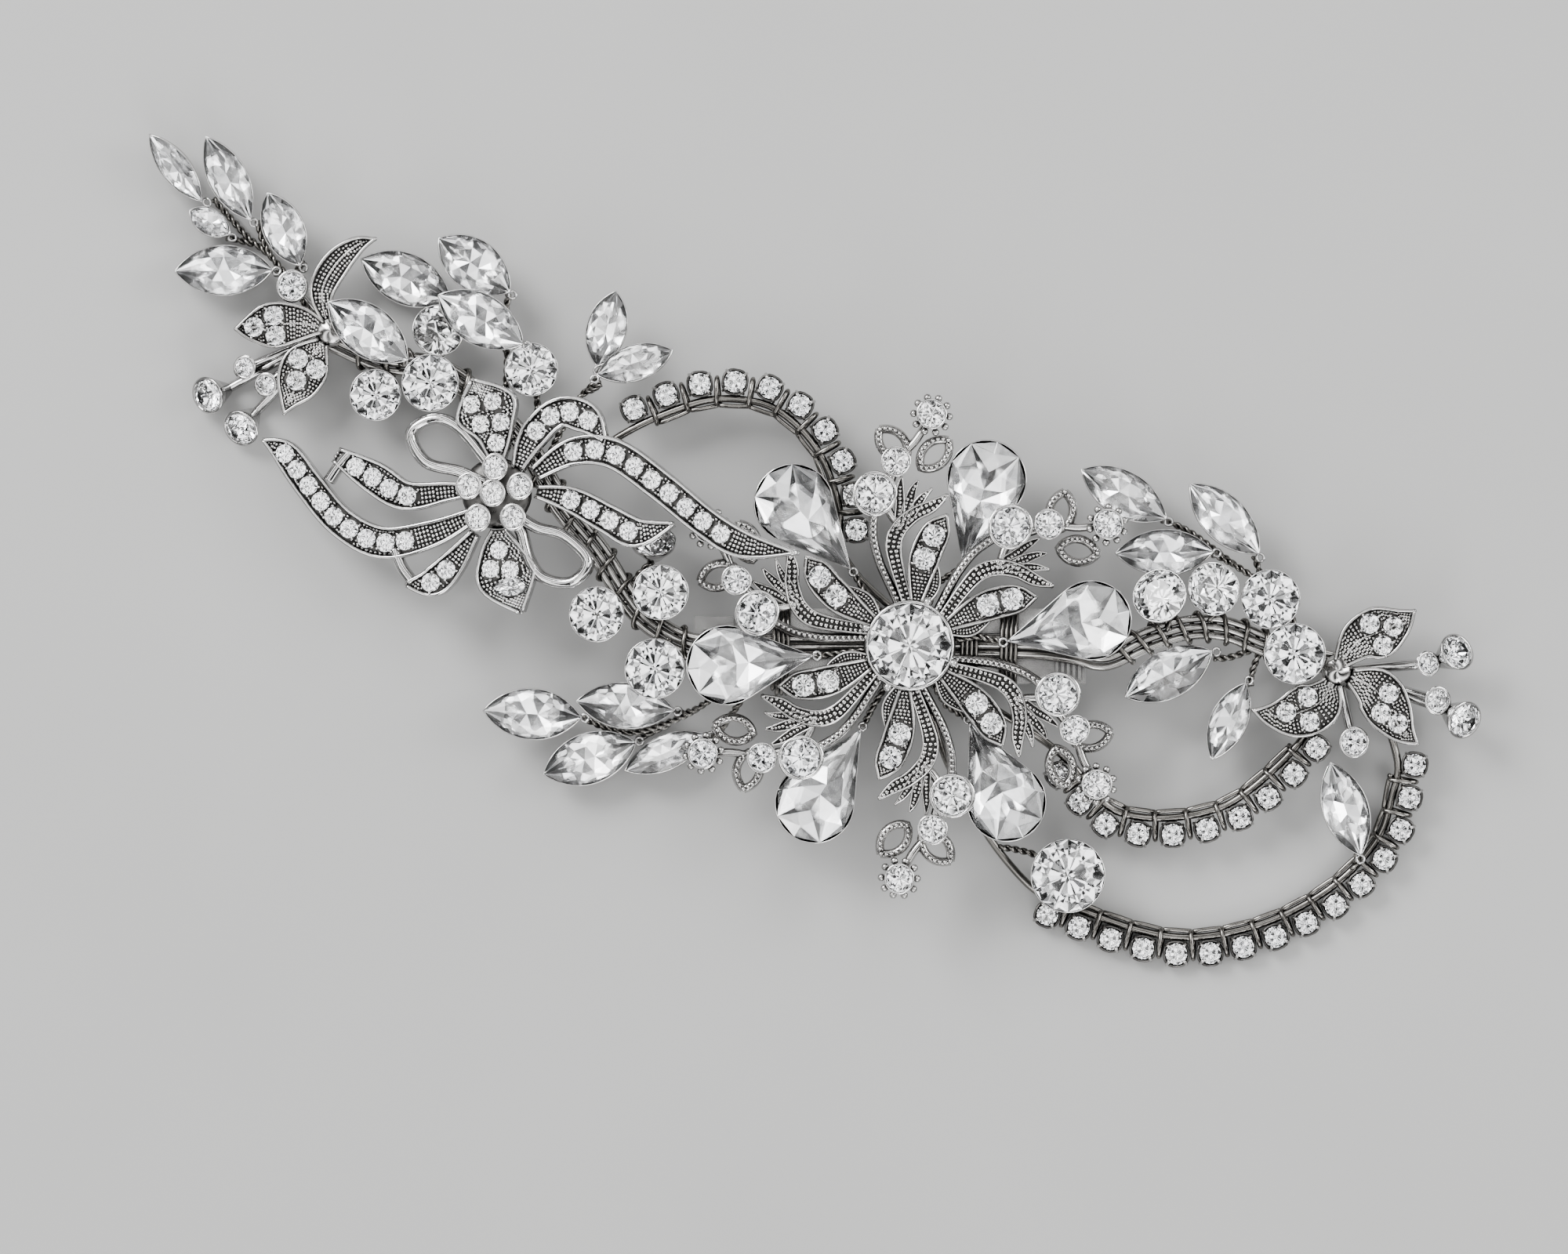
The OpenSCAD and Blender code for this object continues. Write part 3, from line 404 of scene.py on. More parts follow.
def navette_outline(l, w):
    """Two arcs that meet in points."""
    r = (l * l / 4 + w * w / 4) / w
    half = math.asin(l / 2 / r)

    def point(a):
        a %= 1
        side = 1 if a < 0.5 else -1
        swing = half * (1 - 4 * a if a < 0.5 else 4 * a - 3)
        return Vector((r * math.sin(swing), side * (r * math.cos(swing) - r + w / 2), 0))
    return point


def pear_outline(l, w):
    """A round lobe with straight sides to a point. TIP_SHARE of the turn is on each side."""
    r = w / 2
    reach = l - r
    meet = math.acos(r / reach)
    lobe = r - l / 2

    def point(a):
        a %= 1
        side = 1 if a <= 0.5 else -1
        a = min(a, 1 - a)
        if a < TIP_SHARE:
            touch = Vector((r * math.cos(meet), r * math.sin(meet), 0))
            p = Vector((reach, 0, 0)).lerp(touch, a / TIP_SHARE)
        else:
            angle = meet + (math.pi - meet) * (a - TIP_SHARE) / (0.5 - TIP_SHARE)
            p = Vector((r * math.cos(angle), r * math.sin(angle), 0))
        return Vector((p.x + lobe, side * p.y, 0))
    return point


OUTLINES = {"round": round_outline, "navette": navette_outline, "pear": pear_outline}
# How much of a turn round a pear is on one of its straight sides
TIP_SHARE = 0.2
# The shares of a stone's outline for its table and for the points of its stars
TABLE = 0.56
STAR = 0.8
# How far up the crown the points of the stars are
STAR_RISE = 0.62

# Of each cut: how many mains, its back's slope, the shares of its height for its girdle's underside
# and top, the shares of its outline for its keel and for the ring where its lower facets start, how
# much that ring bulges, and how much of its slope's full depth the keel has
CUTS = {
    "round": (8, 0.84, 0.68, 0.74, 0.0, 0.8, 1.1, 1),
    "navette": (6, 0.22, 0.62, 0.72, 0.3, 0.55, 1, 0.85),
    "pear": (5, 0.18, 0.62, 0.76, 0.25, 0.5, 1, 0.85),
}


def cut_stone(shape, stone, form):
    """A faceted stone: table, stars, kites and girdle facets above, mirror facets below."""
    outline = OUTLINES[form](stone.length, stone.width)
    n, slope, back, girdle, keel, inner, bulge, depth = CUTS[form]
    h = stone.height
    back, girdle = back * h, girdle * h
    shape.place = stone.place()

    def ring(count, offset, share, z, thin=1):
        points = [outline((k + offset) / count) * share for k in range(count)]
        return [Vector((p.x, p.y * thin, z)) for p in points]

    table = ring(n, 0, TABLE, h)
    mid = ring(n, 0.5, STAR, girdle + STAR_RISE * (h - girdle))
    top = ring(2 * n, 0, 1, girdle)
    low = ring(2 * n, 0, 1, back)
    deep = ring(n, 0.5, inner, back)
    for p in deep:
        reach = stone.width / 2 if form == "round" else abs(p.y) / inner
        p.z -= slope * reach * (1 - inner) * bulge
    end = ring(n, 0, keel, back - slope * stone.width / 2 * depth, thin=0)
    points = table + mid + top + low + deep + end
    t, m, g, b, d, e = 0, n, 2 * n, 4 * n, 6 * n, 7 * n
    glass, mirror = [tuple(range(n))], []
    for k in range(n):
        j, i = (k + 1) % n, (k - 1) % n
        glass += [(t + k, t + j, m + k), (t + k, m + k, g + 2 * k, m + i)]
        glass += [(m + k, g + 2 * k + 1, g + 2 * k), (m + k, g + (2 * k + 2) % (2 * n), g + 2 * k + 1)]
        mirror += [(e + k, d + i, b + 2 * k, d + k), (e + k, d + k, e + j)]
        mirror += [(d + k, b + 2 * k, b + 2 * k + 1), (d + k, b + 2 * k + 1, b + (2 * k + 2) % (2 * n))]
    for k in range(2 * n):
        j = (k + 1) % (2 * n)
        glass.append((b + k, b + j, g + j, g + k))
    shape.add(points, glass, 0, False)
    shape.add(points, mirror, 1, False)
    shape.place = Matrix.Identity(4)


# Lines. A blade's line is flat, and each point's z is the blade's width there.

def catmull(points, n=6):
    """A smooth line through points, with n steps between each two."""
    out = []
    for i in range(len(points) - 1):
        a, b, c, d = points[max(i - 1, 0)], points[i], points[i + 1], points[min(i + 2, len(points) - 1)]
        for k in range(n):
            t = k / n
            out.append(0.5 * (2 * b + (c - a) * t + (2 * a - 5 * b + 4 * c - d) * t ** 2
                              + (3 * b - a - 3 * c + d) * t ** 3))
    return out + [points[-1]]


def blade_line(points):
    """The centre line of a blade from (x, y, width)."""
    return catmull([Vector(p) for p in points])


def polar_line(points):
    """The same from (distance, direction, width)."""
    return blade_line([(*polar(r, a), w) for r, a, w in points])


def polar(r, degrees):
    return (r * math.cos(math.radians(degrees)), r * math.sin(math.radians(degrees)))


def flat(p, z=0.0):
    return Vector((p.x, p.y, z))


def edge_line(line, side, inset):
    """One edge of a blade, moved in by inset."""
    out = []
    for i, p in enumerate(line):
        t = heading([flat(q) for q in line], i)
        out.append(flat(p) + Vector((-t.y, t.x, 0)) * side * max(p.z / 2 - inset, 0.03))
    return out


# Parts of castings

def rail(shape, path, r, height):
    """A low wall with a rounded top along a flat line."""
    shoulder, brow = height - 0.9 * r, height - 0.3 * r
    section = [(-1, 0), (-1, shoulder), (-0.7, brow), (0, height), (0.7, brow), (1, shoulder), (1, 0)]
    rows = []
    for i, p in enumerate(path):
        t = heading(path, i)
        across = Vector((-t.y, t.x, 0))
        rows.append([p + across * a * r + UP * z for a, z in section])
    shape.grid(rows)


def rimmed_blade(shape, line, rim, height, floor):
    """A blade with a raised rim along both edges."""
    left, right = edge_line(line, 1, rim / 2), edge_line(line, -1, rim / 2)
    rows = [[a, a + UP * floor, b + UP * floor, b] for a, b in zip(left, right)]
    shape.grid(rows, smooth=False, material=1)
    for side in (left, right):
        rail(shape, side, rim / 2, height)


def granulate(shape, line, start, stop, r, height, margin, stones=()):
    """Rows of beads across a blade, from one distance along it to another, leaving room for its stones."""
    back = shape.place.inverted()
    kept = [(flat(back @ (s.at + s.axis * 0.5 * s.height)), s.width / 2 + 0.6 * r) for s in stones]
    path = resampled(line, 1.9 * r)
    step = sum((b - a).length for a, b in zip(path, path[1:])) / (len(path) - 1)
    for i, p in enumerate(path):
        if start <= i * step <= stop:
            room = p.z / 2 - margin - r * 0.6
            count = max(1, int(room / r) + 1)
            t = heading([flat(q) for q in path], i)
            for j in range(count):
                aside = (j - (count - 1) / 2) * 2 * min(r, room / max(count - 1, 1)) if count > 1 else 0
                at = flat(p) + Vector((-t.y, t.x, 0)) * aside
                if all((at - place).length > reach for place, reach in kept):
                    shape.ball(flat(at, height), r * rng.uniform(0.85, 1.1))


def milgrain(shape, path, r, height):
    """A row of beads along a line."""
    for p in resampled(path, 2.05 * r)[:-1]:
        shape.ball(flat(p, height), r)


PRONGS = 4


def prongs(shape, found, r, lift):
    """Beads that hold each stone, turned to stand between it and its nearest neighbour."""
    for stone in found:
        others = [s for s in found if s is not stone]
        near = min(others, key=lambda s: (s.at - stone.at).length)
        direction = near.at - stone.at
        start = math.atan2(direction.dot(stone.wide), direction.dot(stone.long))
        for k in range(PRONGS):
            a = start + 2 * math.pi * (k + 0.5) / PRONGS
            out = (stone.long * math.cos(a) + stone.wide * math.sin(a)) * (stone.width / 2 + 0.8 * r)
            shape.ball(stone.at + stone.axis * (stone.height * lift) + out, r)


# The share of its stone's outline that a setting's lower end has, and how many points its rings have
SETTING_FOOT = 0.36
SETTING_POINTS = 36


def setting(shape, stone, form, rim, base=-0.3):
    """A shell behind a stone, with a thin rim round its girdle."""
    shape.place = stone.place()
    back, top = (share * stone.height for share in CUTS[form][2:4])
    outer = OUTLINES[form](stone.length + 2.6 * rim, stone.width + 2 * rim)
    inner = OUTLINES[form](stone.length + 0.02, stone.width + 0.02)
    profile = [
        (outer, SETTING_FOOT, base), (outer, 0.93, 0.75 * back), (outer, 1, back),
        (outer, 1, top - 0.3 * rim), (outer, 0.985, top), (inner, 1.004, top), (inner, 1, back),
        (inner, SETTING_FOOT, base + 0.15),
    ]
    turns = [k / SETTING_POINTS for k in range(SETTING_POINTS)]
    rows = [
        [Vector((p.x, p.y, z)) for p in (outline(a) * share for a in turns)]
        for outline, share, z in profile
    ]
    shape.grid(rows)
    shape.place = Matrix.Identity(4)


def eyelet(shape, stone, wires):
    """A small ring at the end of a setting that its wire comes from."""
    middle = stone.at + stone.axis * 0.35 * stone.height
    tips = [middle + stone.long * s * (stone.length / 2 + 0.45) for s in (1, -1)]
    tip = min(tips, key=lambda p: min((p - w).length for w in wires))
    path = [tip + (stone.long * math.cos(a) + stone.wide * math.sin(a)) * 0.42 for a in turn(12)]
    shape.tube(path + path[:1], 0.15, 6)


# A twisted pair's whole diameter, its pitch, and how many points a turn has
PAIR_D = 0.8
PAIR_PITCH = 1.8
PAIR_STEPS = 10


def twist(shape, path):
    """Two wires wound round each other, just pressed together."""
    line = resampled(path, PAIR_PITCH / PAIR_STEPS)
    across = frames(line)
    for phase in (0, math.pi):
        strand = []
        for i, p in enumerate(line):
            t = heading(line, i)
            w = phase + 2 * math.pi * i / PAIR_STEPS
            strand.append(p + (across[i] * math.cos(w) + t.cross(across[i]) * math.sin(w)) * PAIR_D / 4)
        shape.tube(strand, PAIR_D / 4 * 1.05, 6)


# A wire's end is flat to within FLATNESS, and all of its corners are nearer its middle than END_REACH
FLATNESS = 2e-3
END_REACH = 1.2


def centre_line(solid):
    """The middle line of a round wire: the means of its rings, walked from one end.

    Its end is a flat face whose corners all stand at one distance from their middle. Where there are
    only four of them, neighbours have to be the corners of a square.
    """
    points = np.array(solid["points"])
    for normal, _, centre, corners in solid["faces"]:
        ring = np.nonzero(np.abs((points - np.array(centre)) @ np.array(normal)) < FLATNESS)[0]
        ring = [i for i in ring if np.linalg.norm(points[i] - np.array(centre)) < END_REACH]
        middle = points[ring].mean(0)
        radii = np.linalg.norm(points[ring] - middle, axis=1)
        if 4 <= len(ring) <= 6 and set(corners) <= set(ring) and radii.max() < 1.04 * radii.min():
            side = np.linalg.norm(points[ring[0]] - points[ring[1]])
            if len(ring) > 4 or abs(side / radii[0] - 1.414) < 0.1:
                break
    layer, seen, out = set(ring), set(ring), []
    while layer:
        out.append(Vector(points[list(layer)].mean(0)))
        layer = {j for i in layer for j in solid["joins"][i]} - seen
        seen |= layer
    return out


STONE_FORMS = {
    "centre_stone": "round", "arm_stones": "round", "petal_stones": "round", "pear_stones": "pear",
    "bow_centre_stones": "round", "bow_ribbon_stones": "round",
    "left_leaf_stones": "round", "right_leaf_stones": "round",
    "left_stamen_stones": "round", "right_stamen_stones": "round",
    "upper_chain_stones": "round", "inner_chain_stones": "round", "outer_chain_stones": "round",
    "tip_spray_stones": "navette", "upper_spray_stones": "navette",
    "lower_spray_stones": "navette", "right_spray_stones": "navette", "round_stones": "round",
}
FOUND = {node: [Stone(solid) for solid in solids(node)] for node in STONE_FORMS}
# How much wider than its CAD solid a stone is, where it covers its setting's wall
GROWN = {"left_leaf_stones": 0.2, "right_leaf_stones": 0.2, "petal_stones": 0.2, "bow_centre_stones": 0.1,
         "pear_stones": 0.3, "round_stones": 0.3, "tip_spray_stones": 0.3, "upper_spray_stones": 0.3,
         "lower_spray_stones": 0.3, "right_spray_stones": 0.3}
for node, grown in GROWN.items():
    for stone in FOUND[node]:
        stone.length += grown
        stone.width += grown


def cut_stones(node):
    shape = Shape()
    for stone in FOUND[node]:
        cut_stone(shape, stone, STONE_FORMS[node])
    back = FOIL if STONE_FORMS[node] == "round" else PALE_FOIL
    shape.piece(node + "_cut", [CRYSTAL, back], "crystal", node)


for node in STONE_FORMS:
    cut_stones(node)


# Castings and wires. Their lines are those of the CAD solids, with some finer detail: FRINGE has three
# teeth where the CAD has one broad strip, SCROLL is extra, and the bow's polished loops have longer ends.

# The flower: its hub's underside and edge, and its arms' directions, droop and height. An arm's own
# middle line is ARM_MID degrees from its direction. Its lines are (distance, direction, width).
HUB_Z = 9.9
HUB_R = 5.2
ARM_DIRS = (103, 50, -18, -74, 226, 168)
ARM_MID = -12
ARM_DROOP = 4
ARM_H = 0.9
BAND = [(4.4, -11, 1.2), (8.3, -4, 1.5), (10.8, -4, 1.8), (12.6, -8.5, 1.8), (14, -15.5, 1.6),
        (15, -22, 1.4), (16.4, -27, 0.5)]
FRINGE = [
    [(12.4, -7, 1), (14.6, -9, 1.1), (16.6, -9.6, 0.9), (18, -10.4, 0.3)],
    [(12.8, -9.5, 1), (14.9, -12.4, 1.2), (16.6, -14.4, 0.9), (17.6, -16, 0.3)],
    [(13.3, -12, 1), (14.9, -16, 1.1), (16, -18.6, 0.8), (16.8, -21, 0.3)],
]
LEAF = [(4.6, -22, 1.4), (8, -22, 3), (10.6, -24, 3.4), (12.8, -27, 2.8), (14.4, -29, 0.4)]
ARC = [(4.6, 1, 0.9), (7, 5, 0.9), (9.6, 6.5, 0.9), (12.4, 5, 0.9), (15.2, 1, 0.9)]
SCROLL = [(4.6, -31, 0.9), (6.6, -36, 1.3), (8.4, -32, 1), (9.6, -28, 0.3)]
SPINE = [(12.6, -9, 1), (15.4, -4, 1), (19.6, -9.6, 1.2), (22, -15, 1.2), (24.6, -18.5, 1.2)]
# Distance, direction and turn of the two pointed loops of an arm, and their length and width
LOOPS = [(21.6, -8.4, 30), (20.6, -20.5, -58)]
LOOP_SIZE = (4.1, 2.5)
# Distance and direction of an arm's larger cup, its smaller one and its rosette
BEZEL_AT = (16.3, 0)
SMALL_AT = (19.5, -8.8)
TIP_AT = (24.6, -18.5)

# The bow: its middle, its tilt, and its ribbons and loops as lines of (x, y, width)
BOW_AT = Vector((-43.75, 16.25, 8))
BOW_RISE = 10
RIBBONS = [
    [(-46, 14, 1.6), (-50.5, 12, 2.9), (-56, 11, 3.5), (-60.5, 13.2, 3.3), (-64, 17.2, 3.2),
     (-66.6, 20.6, 2.8), (-69, 22, 0.4)],
    [(-46.3, 16.6, 1.5), (-49, 16.4, 2.2), (-53.5, 16, 3.2), (-57, 18, 3.5), (-61, 20.4, 1.8)],
    [(-43.6, 19.8, 1.8), (-43.9, 22.6, 4.2), (-44.9, 25.4, 6.9), (-46.3, 28.3, 0.6)],
    [(-41.4, 18.8, 1.4), (-39.8, 22.2, 3), (-37, 24.8, 3.2), (-34, 24.2, 3.4), (-32, 21.9, 0.8)],
    [(-39.6, 18.2, 1.6), (-35.5, 20.6, 3), (-31, 20.4, 3.3), (-26, 17, 3.3), (-21, 13, 3.2), (-17, 10.7, 3),
     (-11.2, 9.8, 0.4)],
    [(-39.4, 16.4, 1.4), (-35.5, 15.5, 2.8), (-31.5, 13.4, 3.2), (-28.5, 12, 3.2), (-24.6, 12.9, 0.6)],
    [(-43.4, 12.4, 1.8), (-43.1, 9.8, 5), (-42.4, 7, 6.6), (-41, 3.6, 0.8)],
    [(-46, 12, 1.2), (-48.4, 8.8, 2.8), (-50.6, 6.8, 3.2), (-53.4, 6.6, 0.8)],
]
BOW_LOOPS = [
    [(-44.4, 19.2, 1.2), (-47.8, 23.2, 1.3), (-50.6, 24.2, 1.2), (-53, 22.6, 1.3), (-51.4, 19.6, 1.2),
     (-47.8, 18.6, 1.1), (-45.4, 17.6, 1), (-44, 17, 1)],
    [(-41.8, 14.2, 1.1), (-39.4, 12.6, 1.1), (-36.4, 11.7, 1.2), (-33.8, 9, 1.3), (-35.6, 6.8, 1.3),
     (-38.6, 7.2, 1.2), (-40.2, 9.2, 1.1), (-41, 12, 1), (-42.2, 14, 1)],
    [(-59.6, 20.6, 0.9), (-60.8, 19.2, 0.9), (-61.9, 17.6, 0.9)],
    [(-52.8, 6.8, 0.9), (-54, 8.4, 0.9), (-54.8, 10.4, 0.9)],
]
# A ribbon's rims and the height of the floor between them
RIM = 0.42
RIM_H = 1.5
FLOOR_H = 0.6

# Leaf castings: each one's hub and its leaves, as the ribbons
LEFT_HUB = Vector((-61.6, 33.6, 4.4))
LEFT_LEAVES = [
    [(-62, 34.6, 1.2), (-62.5, 37.8, 2.8), (-61, 40.7, 3.1), (-58.8, 42.7, 2), (-56.8, 43.4, 0.3)],
    [(-62.4, 34, 1.5), (-65, 34.4, 4), (-68, 34.2, 4.9), (-70.2, 33.9, 2.8), (-71.7, 33.8, 0.3)],
    [(-62.4, 32.4, 1.5), (-64, 30.2, 5), (-65.2, 27.8, 4.6), (-66, 26.1, 2.2), (-66.5, 24.8, 0.3)],
]
RIGHT_HUB = Vector((45.6, -2.6, 5))
RIGHT_LEAVES = [
    [(45.8, -1.8, 1.6), (47.9, 0.6, 4.6), (50.2, 1.6, 5.6), (52.2, 2.6, 3.4), (53.8, 3.8, 0.3)],
    [(45, -3.8, 2), (43.6, -6, 5.4), (41, -7.2, 5.2), (38.6, -7.3, 2.8), (36.6, -6.8, 0.3)],
    [(47, -3.2, 1.8), (49.6, -4.6, 5), (51.1, -6.9, 5), (52.5, -9, 3), (54.1, -10.4, 0.3)],
]


def turned(degrees, axis):
    return Matrix.Rotation(math.radians(degrees), 4, axis)


def arm_place(direction):
    """Turns an arm to its direction and lets it droop from the hub's edge."""
    level = turned(direction + ARM_MID, "Z") @ Matrix.Translation((HUB_R, 0, HUB_Z))
    return level @ turned(ARM_DROOP, "Y") @ Matrix.Translation((-HUB_R, 0, 0)) @ turned(-ARM_MID, "Z")


def bow_place():
    """Lifts the bow to its height and tilts it up towards the flower."""
    return Matrix.Translation(BOW_AT) @ turned(-BOW_RISE, "Y") @ Matrix.Translation(-flat(BOW_AT))


def milgrain_loop(shape, at, degrees):
    """A pointed open loop with beads on it."""
    outline = navette_outline(*LOOP_SIZE)
    path = [turned(degrees, "Z") @ outline(k / 24) + Vector(at) for k in range(25)]
    rail(shape, path, r=0.48, height=0.7)
    milgrain(shape, path, r=0.27, height=0.78)


def flower_arm(shape):
    """One arm: a beaded band with a fringe, a leaf, an arc, and a spine to a rosette and two loops."""
    band, leaf, scroll = polar_line(BAND), polar_line(LEAF), polar_line(SCROLL)
    arc, spine = [[flat(p) for p in polar_line(line)] for line in (ARC, SPINE)]
    rimmed_blade(shape, band, rim=0.24, height=ARM_H, floor=0.5)
    granulate(shape, band, start=0.4, stop=16, r=0.28, height=0.66, margin=0.14)
    for line in FRINGE:
        tooth = polar_line(line)
        rimmed_blade(shape, tooth, rim=0.2, height=0.8, floor=0.4)
        granulate(shape, tooth, start=0, stop=4.6, r=0.22, height=0.6, margin=0.2)
    rimmed_blade(shape, scroll, rim=0.24, height=0.85, floor=0.4)
    granulate(shape, scroll, start=0, stop=4.4, r=0.18, height=0.6, margin=0.22)
    rimmed_blade(shape, leaf, rim=0.36, height=1.25, floor=0.6)
    granulate(shape, leaf, start=0.3, stop=20, r=0.22, height=0.75, margin=0.4,
              stones=FOUND["petal_stones"])
    rail(shape, arc, r=0.5, height=0.7)
    milgrain(shape, arc, r=0.3, height=0.8)
    rail(shape, spine, r=0.45, height=0.8)
    for r, a, degrees in LOOPS:
        milgrain_loop(shape, (*polar(r, a), 0), degrees)
    for (r, a), high in ((BEZEL_AT, 1.8), (SMALL_AT, 0.9), (TIP_AT, 0.9)):
        post = [(0.01, 0), (1.1, 0), (1.1, high), (0.01, high)]
        shape.lathe(Vector((*polar(r, a), 0)), UP, post, 16)
    tip = Vector((*polar(*TIP_AT), 1.4))
    for a in turn(10):
        out = Vector((math.cos(a), math.sin(a), 0))
        shape.ball(tip + out * 1.9, 0.42)
        shape.tube([tip + out * 0.7 - UP * 0.9, tip + out * 1.9], 0.22, 6)


def flower():
    """The hub on two feet, its six arms, and the prongs that hold the leaf stones."""
    shape = Shape()
    for direction in ARM_DIRS:
        shape.place = arm_place(direction)
        flower_arm(shape)
    shape.place = Matrix.Identity(4)
    hub = [(0.01, 0), (4.7, 0), (4.9, 0.25), (4.8, 0.7), (4.2, 0.9), (3.4, 1.2), (0.01, 1.2)]
    shape.lathe(Vector((0, 0, HUB_Z)), UP, hub, 48, 1)
    foot = [(0.01, 0), (0.7, 0), (0.6, 0.4), (0.6, 2.2), (0.01, 2.2)]
    for side in (-1, 1):
        shape.lathe(Vector((0, side * 2.8, 7.8)), UP, foot, 16)
    prongs(shape, FOUND["petal_stones"], r=0.18, lift=0.72)
    shape.piece("flower_filigree", [SILVER, ANTIQUE], "silver", "flower_casting")


def bow():
    """A hub with eight ribbons and petals, two polished loops and two small bars."""
    shape = Shape()
    shape.place = bow_place()
    hub = [(0.01, 0), (3.6, 0), (3.8, 0.3), (3.5, 0.75), (2.8, 1), (0.01, 1)]
    shape.lathe(flat(BOW_AT), UP, hub, 40, 1)
    for points in RIBBONS:
        line = blade_line(points)
        rimmed_blade(shape, line, RIM, RIM_H, FLOOR_H)
        granulate(shape, line, start=0.3, stop=60, r=0.23, height=0.85, margin=RIM,
                  stones=FOUND["bow_ribbon_stones"])
    for points in BOW_LOOPS:
        rail(shape, [flat(p) for p in blade_line(points)], r=0.62, height=RIM_H)
    shape.place = Matrix.Identity(4)
    prongs(shape, FOUND["bow_ribbon_stones"], r=0.15, lift=0.74)
    shape.piece("bow_ribbons", [POLISHED, ANTIQUE], "silver", "bow_casting")


def leaves(name, hub, lines, stone_node, casting_node):
    """Three leaves on a small hub, each with a midrib, beads and stones."""
    shape = Shape()
    shape.place = Matrix.Translation((0, 0, hub.z))
    button = [(0.01, 0), (1.7, 0), (1.7, 0.5), (1.2, 1.1), (0.01, 1.3)]
    shape.lathe(flat(hub), UP, button, 24)
    for points in lines:
        line = blade_line(points)
        rimmed_blade(shape, line, rim=0.38, height=1.4, floor=FLOOR_H)
        granulate(shape, line, start=0.2, stop=20, r=0.22, height=0.8, margin=0.36,
                  stones=FOUND[stone_node])
        rail(shape, [flat(p) for p in line[:-4]], r=0.13, height=0.95)
    shape.place = Matrix.Identity(4)
    prongs(shape, FOUND[stone_node], r=0.17, lift=0.76)
    shape.piece(name, [SILVER, ANTIQUE], "silver", casting_node)


def stamens(name, hub, stone_node, node):
    """Cone cups on stalks from a leaf hub."""
    shape = Shape()
    for stone in FOUND[stone_node]:
        setting(shape, stone, "round", rim=0.3, base=-1.7)
        foot = stone.at - stone.axis * 1.6
        root = hub - UP * 0.4
        path = catmull([root, root.lerp(foot, 0.5) - UP * 0.7, foot], 6)
        shape.tube(path, 0.5, 8)
    shape.piece(name, [POLISHED], "silver", node)


# The rim of a setting that a stone nearly hides
THIN_RIM = 0.12


def settings(name, stone_node, node, rim, wires=()):
    """A shell for each stone of a node, with an eyelet where wires are given."""
    shape = Shape()
    for stone in FOUND[stone_node]:
        setting(shape, stone, STONE_FORMS[stone_node], rim)
        if wires:
            eyelet(shape, stone, wires)
    shape.piece(name, [POLISHED], "silver", node)


def centre_setting():
    """The centre stone's bezel, with four balls over its edge."""
    shape = Shape()
    stone = FOUND["centre_stone"][0]
    setting(shape, stone, "round", rim=0.3)
    for degrees in (-22, 68, 158, 242):
        x, y = polar(stone.length / 2 + 0.6, degrees)
        shape.ball(stone.at + Vector((x, y, 0.7 * stone.height)), 0.46, 12)
    shape.piece("centre_setting", [POLISHED], "silver", "centre_bezel")


# The width past which a stone of an arm has the thicker rim
LARGE_STONE = 3.4


def arm_settings():
    shape = Shape()
    for stone in FOUND["arm_stones"]:
        setting(shape, stone, "round", rim=0.36 if stone.width > LARGE_STONE else 0.2)
    shape.piece("arm_settings", [POLISHED], "silver", "arm_bezels")


# The profiles of a chain cup and its claws, as (share of its stone's radius, height), and how far the
# cup's corners stand out
CHAIN_CUP = [(0.8, -0.45), (1.12, -0.3), (1.24, 0.35), (1.24, 0.8), (1.04, 0.86), (0.96, 0.4), (0.2, 0)]
CHAIN_CLAW = [(1.34, 0.2), (1.26, 0.95), (1.02, 1.3)]
CHAIN_CORNER = 1.07


def chain(side):
    """Square four-prong cups, one under each stone."""
    node = side + "_chain_stones"
    found = FOUND[node]
    shape = Shape()
    for stone in found:
        near = min((s for s in found if s is not stone), key=lambda s: (s.at - stone.at).length)
        along = (near.at - stone.at).normalized()
        across = stone.axis.cross(along).normalized()
        half = stone.width / 2
        rows = []
        for reach, z in CHAIN_CUP:
            ring = []
            for a in turn(24):
                square = 1 / max(abs(math.cos(a)), abs(math.sin(a)))
                r = half * reach * min(square, CHAIN_CORNER)
                ring.append(stone.at + (along * math.cos(a) + across * math.sin(a)) * r + stone.axis * z)
            rows.append(ring)
        shape.grid(rows, material=1)
        for a in (45, 135, 225, 315):
            x, y = polar(1, a)
            out = along * x + across * y
            claw = [out * half * reach + stone.axis * z for reach, z in CHAIN_CLAW]
            shape.tube([stone.at + p for p in catmull(claw, 3)], 0.2, 6)
            shape.ball(stone.at + claw[-1], 0.22)
    shape.piece(side + "_chain_settings", [SILVER, ANTIQUE], "silver", side + "_chain_cups")


# The radii of the plain wires
WIRE_R = 0.42
WRAP_R = 0.26
STEM_WRAP_R = 0.27
BINDING_R = 0.22


def round_wire(node, r, finish):
    shape = Shape()
    for solid in solids(node):
        shape.tube(catmull(centre_line(solid), 3), r, 10)
    shape.piece(node + "_wire", [finish], "wire", node)


def twisted_wire(node):
    shape = Shape()
    for solid in solids(node):
        twist(shape, centre_line(solid))
    shape.piece(node + "_twist", [WIRE], "wire", node)


def spray_wires(side):
    shape = Shape()
    for route in SPRAY_WIRES[side]:
        twist(shape, catmull([Vector(p) for p in route], 4))
    shape.piece(side + "_spray_twist", [WIRE], "wire", side + "_spray_wires")


